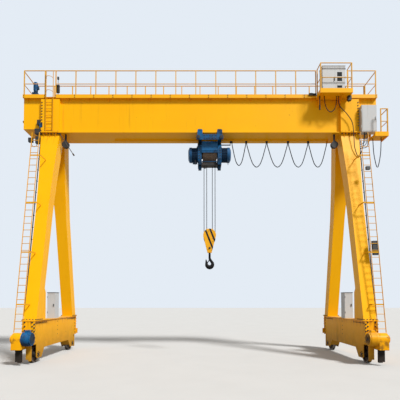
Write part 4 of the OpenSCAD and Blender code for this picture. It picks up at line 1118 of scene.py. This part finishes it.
# Cables clipped to each front leg's outer side, and boxes behind the right ladder
ladderTrim = {
    "lowest": 1.95,
    "step": 0.55,
    "count": 16,
    "depths": (0.05, 0.09),         # of the two cables behind the leg's face
    "offset": 0.018,                # of their middle from the leg's side
    "radius": 0.014,
    "clipX": (-0.006, 0.034),
    "clipY": (0.02, 0.12),
    "clipHeight": 0.03,
    "clipLean": 0.21,
    "boxes": ((7.30, 7.51, 4.51, 5.13), (7.33, 7.50, 8.37, 8.52)),     # X from and to, Z from and to
    "boxY": (0.02, 0.13),
    "boxLean": 0.156,
}


def makeLadderTrim():
    heights = [ladderTrim["lowest"] + ladderTrim["step"] * k for k in range(ladderTrim["count"])]
    near, far = ladderTrim["clipY"]
    front, back = ladderTrim["boxY"]
    for side, name in leftRight:
        shape = Shape()
        for depth in ladderTrim["depths"]:
            offset = crane["truckX"] + ladderTrim["offset"]
            path = [(side * (offset + legHalf(z)), legY(z) + depth, z) for z in heights]
            shape.tube(path, ladderTrim["radius"], 0.3)
        for z in heights[1:-1]:
            x = sorted(side * (crane["truckX"] + legHalf(z) + reach) for reach in ladderTrim["clipX"])
            shape.box((x[0], legY(z) + near, z), (x[1], legY(z) + far, z + ladderTrim["clipHeight"]),
                      ladderTrim["clipLean"])
        for x0, x1, z0, z1 in ladderTrim["boxes"] if side > 0 else ():
            shape.box((x0, ladderY(z0) + front, z0), (x1, ladderY(z0) + back, z1), ladderTrim["boxLean"])
        shape.piece("ladderCables" + name, blackPlastic, "portal", "dark_plastic", 0.003)


# Brackets under the walkway's overhang, and the weld beads along the box's corners
girderTrim = {
    "brackets": 18,
    "bracketReach": 8.1,
    "bracketHalf": 0.006,       # half a bracket's thickness
    "bracket": ((0.515, 12.10), (0.645, 12.10), (0.645, 12.07), (0.515, 11.93)),     # Y and Z
    "beadY": 0.519,
    "lowBead": (6.5, 10.483, 0.008),        # half length, height and radius
    "highBead": (8.25, 12.077, 0.007),
    "saddleBead": (0.43, 10.5, 12.0, 0.007),     # X from the saddle's middle, foot, head and radius
}


def makeGirderTrim():
    brackets = Shape()
    reach, half = girderTrim["bracketReach"], girderTrim["bracketHalf"]
    for i in range(girderTrim["brackets"]):
        x = -reach + i * 2 * reach / (girderTrim["brackets"] - 1)
        for end in both(1):
            brackets.prism([(end * y, z) for y, z in girderTrim["bracket"]], 0, x - half, x + half)
    brackets.piece("walkwayBrackets", yellow, "portal", "crane_yellow", 0)
    beads = Shape()
    for y in both(girderTrim["beadY"]):
        for length, z, radius in (girderTrim["lowBead"], girderTrim["highBead"]):
            beads.rod((-length, y, z), (length, y, z), radius, 8, 0.3)
    offset, low, high, radius = girderTrim["saddleBead"]
    for side in both(1):
        for x in both(offset):
            edge = side * crane["truckX"] + x
            for y in both(girderTrim["beadY"]):
                beads.rod((edge, y, low), (edge, y, high), radius, 8, 0.3)
    beads.piece("weldBeads", yellow, "portal", "crane_yellow", 0)


# At the left saddle: switch boxes with their cables, the limit switch and its pole.
# A box is its two corners; a rod its ends, radius and sides; a tube its points, radius and step.
saddleBoxes = {
    "boxes": (((-7.66, -0.80, 10.32), (-7.40, -0.62, 10.55)), ((-7.95, -0.80, 9.93), (-7.75, -0.66, 10.13)),
              ((-7.62, -0.80, 9.87), (-7.44, -0.64, 10.19))),
    "rods": (((-7.53, -0.72, 10.10), (-7.53, -0.72, 10.40), 0.018, 12),
             ((-7.9, -0.72, 10.03), (-7.5, -0.72, 10.03), 0.018, 12)),
    "tubes": ((((-7.80, -0.74, 9.94), (-7.80, -0.75, 9.82), (-7.72, -0.76, 9.72), (-7.60, -0.75, 9.74),
                (-7.54, -0.73, 9.88)), 0.012, 0.03),
              (((-7.5, -0.70, 10.5), (-7.49, -0.62, 10.62), (-7.48, -0.56, 10.75), (-7.47, -0.54, 10.9)),
               0.014, 0.04)),
}
limitSwitch = {
    "boxes": (((-7.50, -0.66, 10.64), (-7.335, -0.52, 10.887)),
              ((-7.485, -0.672, 10.665), (-7.35, -0.655, 10.862))),
}
limitPole = {
    "boxes": (((-6.62, -0.70, 10.36), (-6.52, -0.56, 10.41)),),
    "rods": (((-6.57, -0.62, 10.40), (-5.907, -0.62, 9.402), 0.016, 12),
             ((-5.93, -0.62, 9.44), (-5.87, -0.62, 9.35), 0.035, 14)),
}


def makeLeftBoxes():
    Shape(**saddleBoxes).piece("saddleBoxes", darkPaint, "portal", "dark_steel")
    Shape(**limitSwitch).piece("limitSwitchBox", blue, "portal", "motor_blue")
    Shape(**limitPole).piece("limitPole", boltSteel, "portal", "dark_steel", 0.002)


# At the end cabinet and the balcony: glands, rigid pipes, their clips and the coil on the deck
conduits = {
    "glands": (7.50, 7.67, 7.73, 7.79),     # X of each pipe's gland
    "glandSize": (0.022, 10.37, 10.31),     # radius, top and bottom
    "y": -0.68,
    "pipe": 0.014,
    "fall": (0.04, 0.17),       # its two upper points, below the gland's top
    "bend": 10.05,              # height of the first pipe's bend; each next pipe and clip is a step lower
    "step": 0.1,
    "leg": ((7.46, -0.12), (7.42, -0.22)),      # X, and height from the bend, where it meets the clips
    "clip": ((7.37, -0.73, 9.79), (7.44, -0.62, 9.86)),
    "coil": ((5.08, -0.685), (5.2, -0.70), (5.33, -0.69), (5.44, -0.70)),     # X and Y of its lowest turn
    "coilHeight": 12.17,
    "coilStep": 0.028,
    "coilHump": (0.01, 0.002),      # how much its second point is higher, and more with each turn
    "coilRadius": 0.015,
}
balconyFittings = {
    "boxes": (((6.80, -0.97, 11.80), (6.97, -0.84, 12.02)),),
    "rods": (((6.86, -0.90, 11.81), (6.86, -0.90, 11.74), 0.02, 12),
             ((5.52, -0.90, 12.02), (5.52, -0.90, 11.40), 0.022, 14),
             ((5.52, -0.90, 11.62), (5.52, -0.90, 11.38), 0.034, 14)),
}


def makeRightTrim():
    shape = Shape(**balconyFittings)
    y, step = conduits["y"], conduits["step"]
    radius, top, bottom = conduits["glandSize"]
    for i, x in enumerate(conduits["glands"]):
        shape.rod((x, y, top), (x, y, bottom), radius, 12)
        low = conduits["bend"] - step * i
        (x1, z1), (x2, z2) = conduits["leg"]
        path = [(x, y, top - fall) for fall in conduits["fall"]]
        path += [(x - 0.02, y - 0.005, low), (x1 - 0.01 * i, y - 0.01, low + z1), (x2, y - 0.01, low + z2)]
        shape.tube(path, conduits["pipe"], 0.04)
    for i in range(4):
        drop = Vector((0, 0, step * i))
        shape.box(*(Vector(corner) - drop for corner in conduits["clip"]))
    hump, growth = conduits["coilHump"]
    for i in range(4):
        z = conduits["coilHeight"] + conduits["coilStep"] * i
        (x0, y0), (x1, y1), (x2, y2), (x3, y3) = conduits["coil"]
        path = ((x0, y0 - 0.012 * (i % 2), z), (x1, y1, z + hump + growth * i), (x2, y2, z), (x3, y3, z + hump))
        shape.tube(path, conduits["coilRadius"], 0.04)
    shape.piece("cabinetConduits", blackPlastic, "portal", "dark_plastic", 0.003)


# The cabinets' hinges, handles, roofs, instrument panes and the end cabinet's door panel
cabinet = {
    "front": -1.095,            # Y of the control cabinet's front
    "hingeX": (5.60, 6.64),
    "hingeZ": (12.3, 12.75, 13.15),
    "hinge": (0.009, 0.07),     # radius and length
    "lock": (6.135, 6.15, 12.62, 12.80),     # X from and to, Z from and to
    "handle": (6.142, 12.63, 12.79),
    "panes": ((12.8364, 0.20), (12.6132, 0.16), (12.3032, 0.11)),     # lower edge and height
    "paneX": (6.267, 6.492),
    "paneHalf": 0.004,
}
truckCabinet = {
    # X is from the truck's middle
    "hingeZ": (2.0, 2.72),
    "hinge": (0.009, 0.08),
    "hingePlace": (-0.17, -0.238),
    "handle": ((0.10, -0.262, 2.32), (0.13, -0.226, 2.44)),
    "roof": ((-0.20, -0.25, 2.966), (0.20, 0.25, 2.985)),
}
cabinetDoor = {
    "boxes": (((7.475, -0.897, 10.40), (8.115, -0.889, 11.58)),),
    "rods": (((8.085, -0.925, 10.93), (8.085, -0.925, 11.07), 0.008, 12),),
}


def makeCabinetTrim():
    shape = Shape()
    front = cabinet["front"]
    radius, length = cabinet["hinge"]
    for z in cabinet["hingeZ"]:
        for x in cabinet["hingeX"]:
            shape.rod((x, front - 0.008, z), (x, front - 0.008, z + length), radius, 12)
    x0, x1, z0, z1 = cabinet["lock"]
    shape.box((x0, front - 0.03, z0), (x1, front, z1))
    x, z0, z1 = cabinet["handle"]
    shape.rod((x, front - 0.035, z0), (x, front - 0.035, z1), radius, 12)
    radius, length = truckCabinet["hinge"]
    for side in both(1):
        truck = Vector((side * crane["truckX"], 0, 0))
        x, y = truckCabinet["hingePlace"]
        for z in truckCabinet["hingeZ"]:
            shape.rod(truck + Vector((x, y, z)), truck + Vector((x, y, z + length)), radius, 12)
        for low, high in (truckCabinet["handle"], truckCabinet["roof"]):
            shape.box(truck + Vector(low), truck + Vector(high))
    shape.piece("cabinetFittings", greyCast, "portal", "cabinet_grey", 0.002)
    panes = Shape()
    (x0, x1), half = cabinet["paneX"], cabinet["paneHalf"]
    for z, height in cabinet["panes"]:
        panes.box((x0, front - half, z), (x1, front + half, z + height))
    panes.piece("instrumentPanes", glass, "portal", "dark_plastic", 0.003)
    Shape(**cabinetDoor).piece("cabinetDoorPanel", cabinetCoat, "cabinet_door", "cabinet_grey", 0.003)


# Cooling ribs, terminal boxes and fan grilles of the travel motors
travelMotor = {
    "axis": (-2.86, 1.05),      # Y and Z
    "fan": 0.295,               # X of the fan's end, from the truck's middle inward
    "ribs": 5,
    "firstRib": 0.09,
    "ribPitch": 0.045,
    "rib": (0.279, 0.009),      # radii of the ring and of its bar
    "terminalX": (0.10, 0.26),
    "terminalHalf": 0.10,
    "terminalZ": (0.25, 0.36),
    "grilleRings": (0.05, 0.09, 0.13, 0.17, 0.21),
    "grilleBar": 0.006,
    "grilleSpokes": 6,
    "spoke": 0.005,
}
# The terminal box on the drum's cover, with its lid and two glands
hoistBox = {
    "boxes": (((0.34, 0.405, 9.62), (0.60, 0.462, 9.84)), ((0.332, 0.456, 9.612), (0.608, 0.472, 9.848))),
    "rods": (((0.40, 0.44, 9.63), (0.40, 0.44, 9.585), 0.013, 14),
             ((0.54, 0.44, 9.63), (0.54, 0.44, 9.585), 0.013, 14)),
}
# Caps on the trolley's axles
axleCaps = {
    "x": (-0.08, 1.0),
    "z": 10.22,
    "discs": ((0.69, 0.704, 0.085, 24), (0.70, 0.714, 0.04, 16)),     # Y from and to, radius and sides
}


def makeMotorTrim():
    y, z = travelMotor["axis"]
    for side, name in leftRight:
        material, slot = (blue, "motor_blue") if side < 0 else (truckYellow, "motor_amber")
        fan = side * crane["truckX"] - side * travelMotor["fan"]
        shape = Shape()
        for i in range(travelMotor["ribs"]):
            x = fan + side * (travelMotor["firstRib"] + travelMotor["ribPitch"] * i)
            shape.ring((x, y, z), *travelMotor["rib"], 0, 40)
        x0, x1 = sorted(fan + side * reach for reach in travelMotor["terminalX"])
        half, (low, high) = travelMotor["terminalHalf"], travelMotor["terminalZ"]
        shape.box((x0, y - half, z + low), (x1, y + half, z + high))
        shape.piece("motorRibs" + name, material, "portal", slot, 0.004)
        grille = Shape()
        for radius in travelMotor["grilleRings"]:
            grille.ring((fan - side * 0.004, y, z), radius, travelMotor["grilleBar"], 0, 32)
        reach, spokes = travelMotor["grilleRings"][-1], travelMotor["grilleSpokes"]
        for k in range(spokes):
            angle = math.pi * k / spokes
            across = Vector((0, reach * math.cos(angle), reach * math.sin(angle)))
            centre = Vector((fan - side * 0.006, y, z))
            grille.rod(centre - across, centre + across, travelMotor["spoke"], 8)
        grille.piece("fanGrille" + name, darkPaint, "portal", "dark_steel", 0)
    Shape(**hoistBox).piece("hoistBoxes", blue, "trolley", "hoist_blue", 0.006)
    caps = Shape()
    for x in axleCaps["x"]:
        for end in both(1):
            for near, far, radius, count in axleCaps["discs"]:
                caps.rod((x, end * near, axleCaps["z"]), (x, end * far, axleCaps["z"]), radius, count)
    caps.piece("axleCaps", darkPaint, "trolley", "dark_steel", 0)


# On the deck: an upright motor, the beacon over the lamp and two hoops on the girder's ladder
deckMotor = {
    "place": (-7.82, -0.36),
    "drum": (12.55, 12.93, 0.1),        # foot, head and radius
    "cap": (12.93, 12.97, 0.085),
    "ribs": (7, 12.62, 0.04),           # count, lowest and step
    "rib": (0.101, 0.007),
    "box": ((0.09, -0.06, 12.64), (0.15, 0.06, 12.78)),
}
beacon = {
    "place": (-6.69, -0.54),
    "stem": (12.73, 13.03, 0.012, 12),      # foot, head, radius and sides
    "light": (13.02, 13.14, 0.045, 20),
    "lampY": -0.583,
    "coils": (5, 12.44, 0.055),             # count, lowest and step
    "coil": (0.022, 0.004),
}
hoops = {
    "heights": (12.32, 12.98),
    "route": ((-7.165, -0.72, 0), (-7.13, -0.83, 0.01), (-7.01, -0.88, 0.015), (-6.89, -0.83, 0.01),
              (-6.855, -0.72, 0)),
    "radius": 0.011,
}


def makeDeckTrim():
    x, y = deckMotor["place"]
    motor = Shape()
    for (low, high, radius), chamfer in ((deckMotor["drum"], 0.08), (deckMotor["cap"], 0.2)):
        motor.rod((x, y, low), (x, y, high), radius, 24, chamfer)
    count, low, step = deckMotor["ribs"]
    for i in range(count):
        motor.ring((x, y, low + i * step), *deckMotor["rib"], 2, 24)
    motor.box(*(Vector((x, y, 0)) + Vector(corner) for corner in deckMotor["box"]))
    motor.piece("deckMotor", blue, "portal", "motor_blue", 0.003)
    x, y = beacon["place"]
    lamp = Shape()
    for low, high, radius, count in (beacon["stem"], beacon["light"]):
        lamp.rod((x, y, low), (x, y, high), radius, count)
    count, low, step = beacon["coils"]
    for i in range(count):
        lamp.ring((x, beacon["lampY"], low + step * i), *beacon["coil"], 1, 16)
    lamp.piece("beacon", darkPaint, "portal", "dark_plastic", 0.002)
    ladder = Shape()
    for height in hoops["heights"]:
        ladder.tube([(x, y, height + rise) for x, y, rise in hoops["route"]], hoops["radius"], 0.02)
    ladder.piece("ladderHoops", railPaint, "portal", "rail_yellow", 0)


makeRopes(wireStrand)
makeHook(hookBlack)
print("ropes and hook made")
makeLadderTrim()
makeGirderTrim()
makeLeftBoxes()
makeRightTrim()
makeCabinetTrim()
makeMotorTrim()
makeDeckTrim()
print("trim made")
boltTrucks()
boltFrame()
boltToeBoards()
boltHoist()
scatterBolts({"portal": boltSteel, "trolley": darkPaint, "block": darkPaint})
print("bolts set")


# Floor, backdrop and light
studio = {
    "sun": (-0.72, 0.74, -1.1),     # the way the light travels
    "sunStrength": 3.9,
    "sunAngle": 11.0,               # degrees across the sun, for soft shadows
    "sky": 0.42,
    "backdrop": screen(228, 236, 245),
    "floorShade": screen(148, 146, 142),      # the floor's colour as the object's underside sees it
    "floorPale": (screen(206, 205, 202), screen(198, 197, 194)),
    "floorSize": 240.0,
}


def setStudio():
    half = studio["floorSize"] / 2
    corners = [(-half, -half, 0), (half, -half, 0), (half, half, 0), (-half, half, 0)]
    paint = Paint("studioFloor", 0.1)
    paint.set("Roughness", 0.9)
    seen = paint.add("ShaderNodeLightPath").out("Is Camera Ray")
    pale = paint.mix(paint.noise(0.6, 4.0), *studio["floorPale"])
    paint.set("Base Color", paint.mix(seen, studio["floorShade"], pale))
    makePiece("studioFloor", corners, [(0, 1, 2, 3)], paint.material)

    sunLight = bpy.data.lights.new("sun", "SUN")
    sunLight.energy = studio["sunStrength"]
    sunLight.angle = math.radians(studio["sunAngle"])
    sun = bpy.data.objects.new("sun", sunLight)
    sun.rotation_mode = "QUATERNION"
    sun.rotation_quaternion = Vector(studio["sun"]).to_track_quat("-Z", "Y")
    scene.collection.objects.link(sun)

    world = bpy.data.worlds.new("studio")
    world.use_nodes = True
    scene.world = world
    tree = Tree(world.node_tree)
    path = tree.add("ShaderNodeLightPath")
    seen = (path.out("Is Camera Ray") + path.out("Is Glossy Ray") + path.out("Is Transmission Ray")).clip()
    soft = tree.add("ShaderNodeBackground", {}, {0: (1, 1, 1, 1), 1: studio["sky"]}).out(0)
    pale = tree.add("ShaderNodeBackground", {}, {0: studio["backdrop"], 1: 1.0}).out(0)
    mixed = tree.add("ShaderNodeMixShader", {}, {0: seen, 1: soft, 2: pale}).out(0)
    tree.add("ShaderNodeOutputWorld", {}, {0: mixed})


setStudio()
print("studio set")
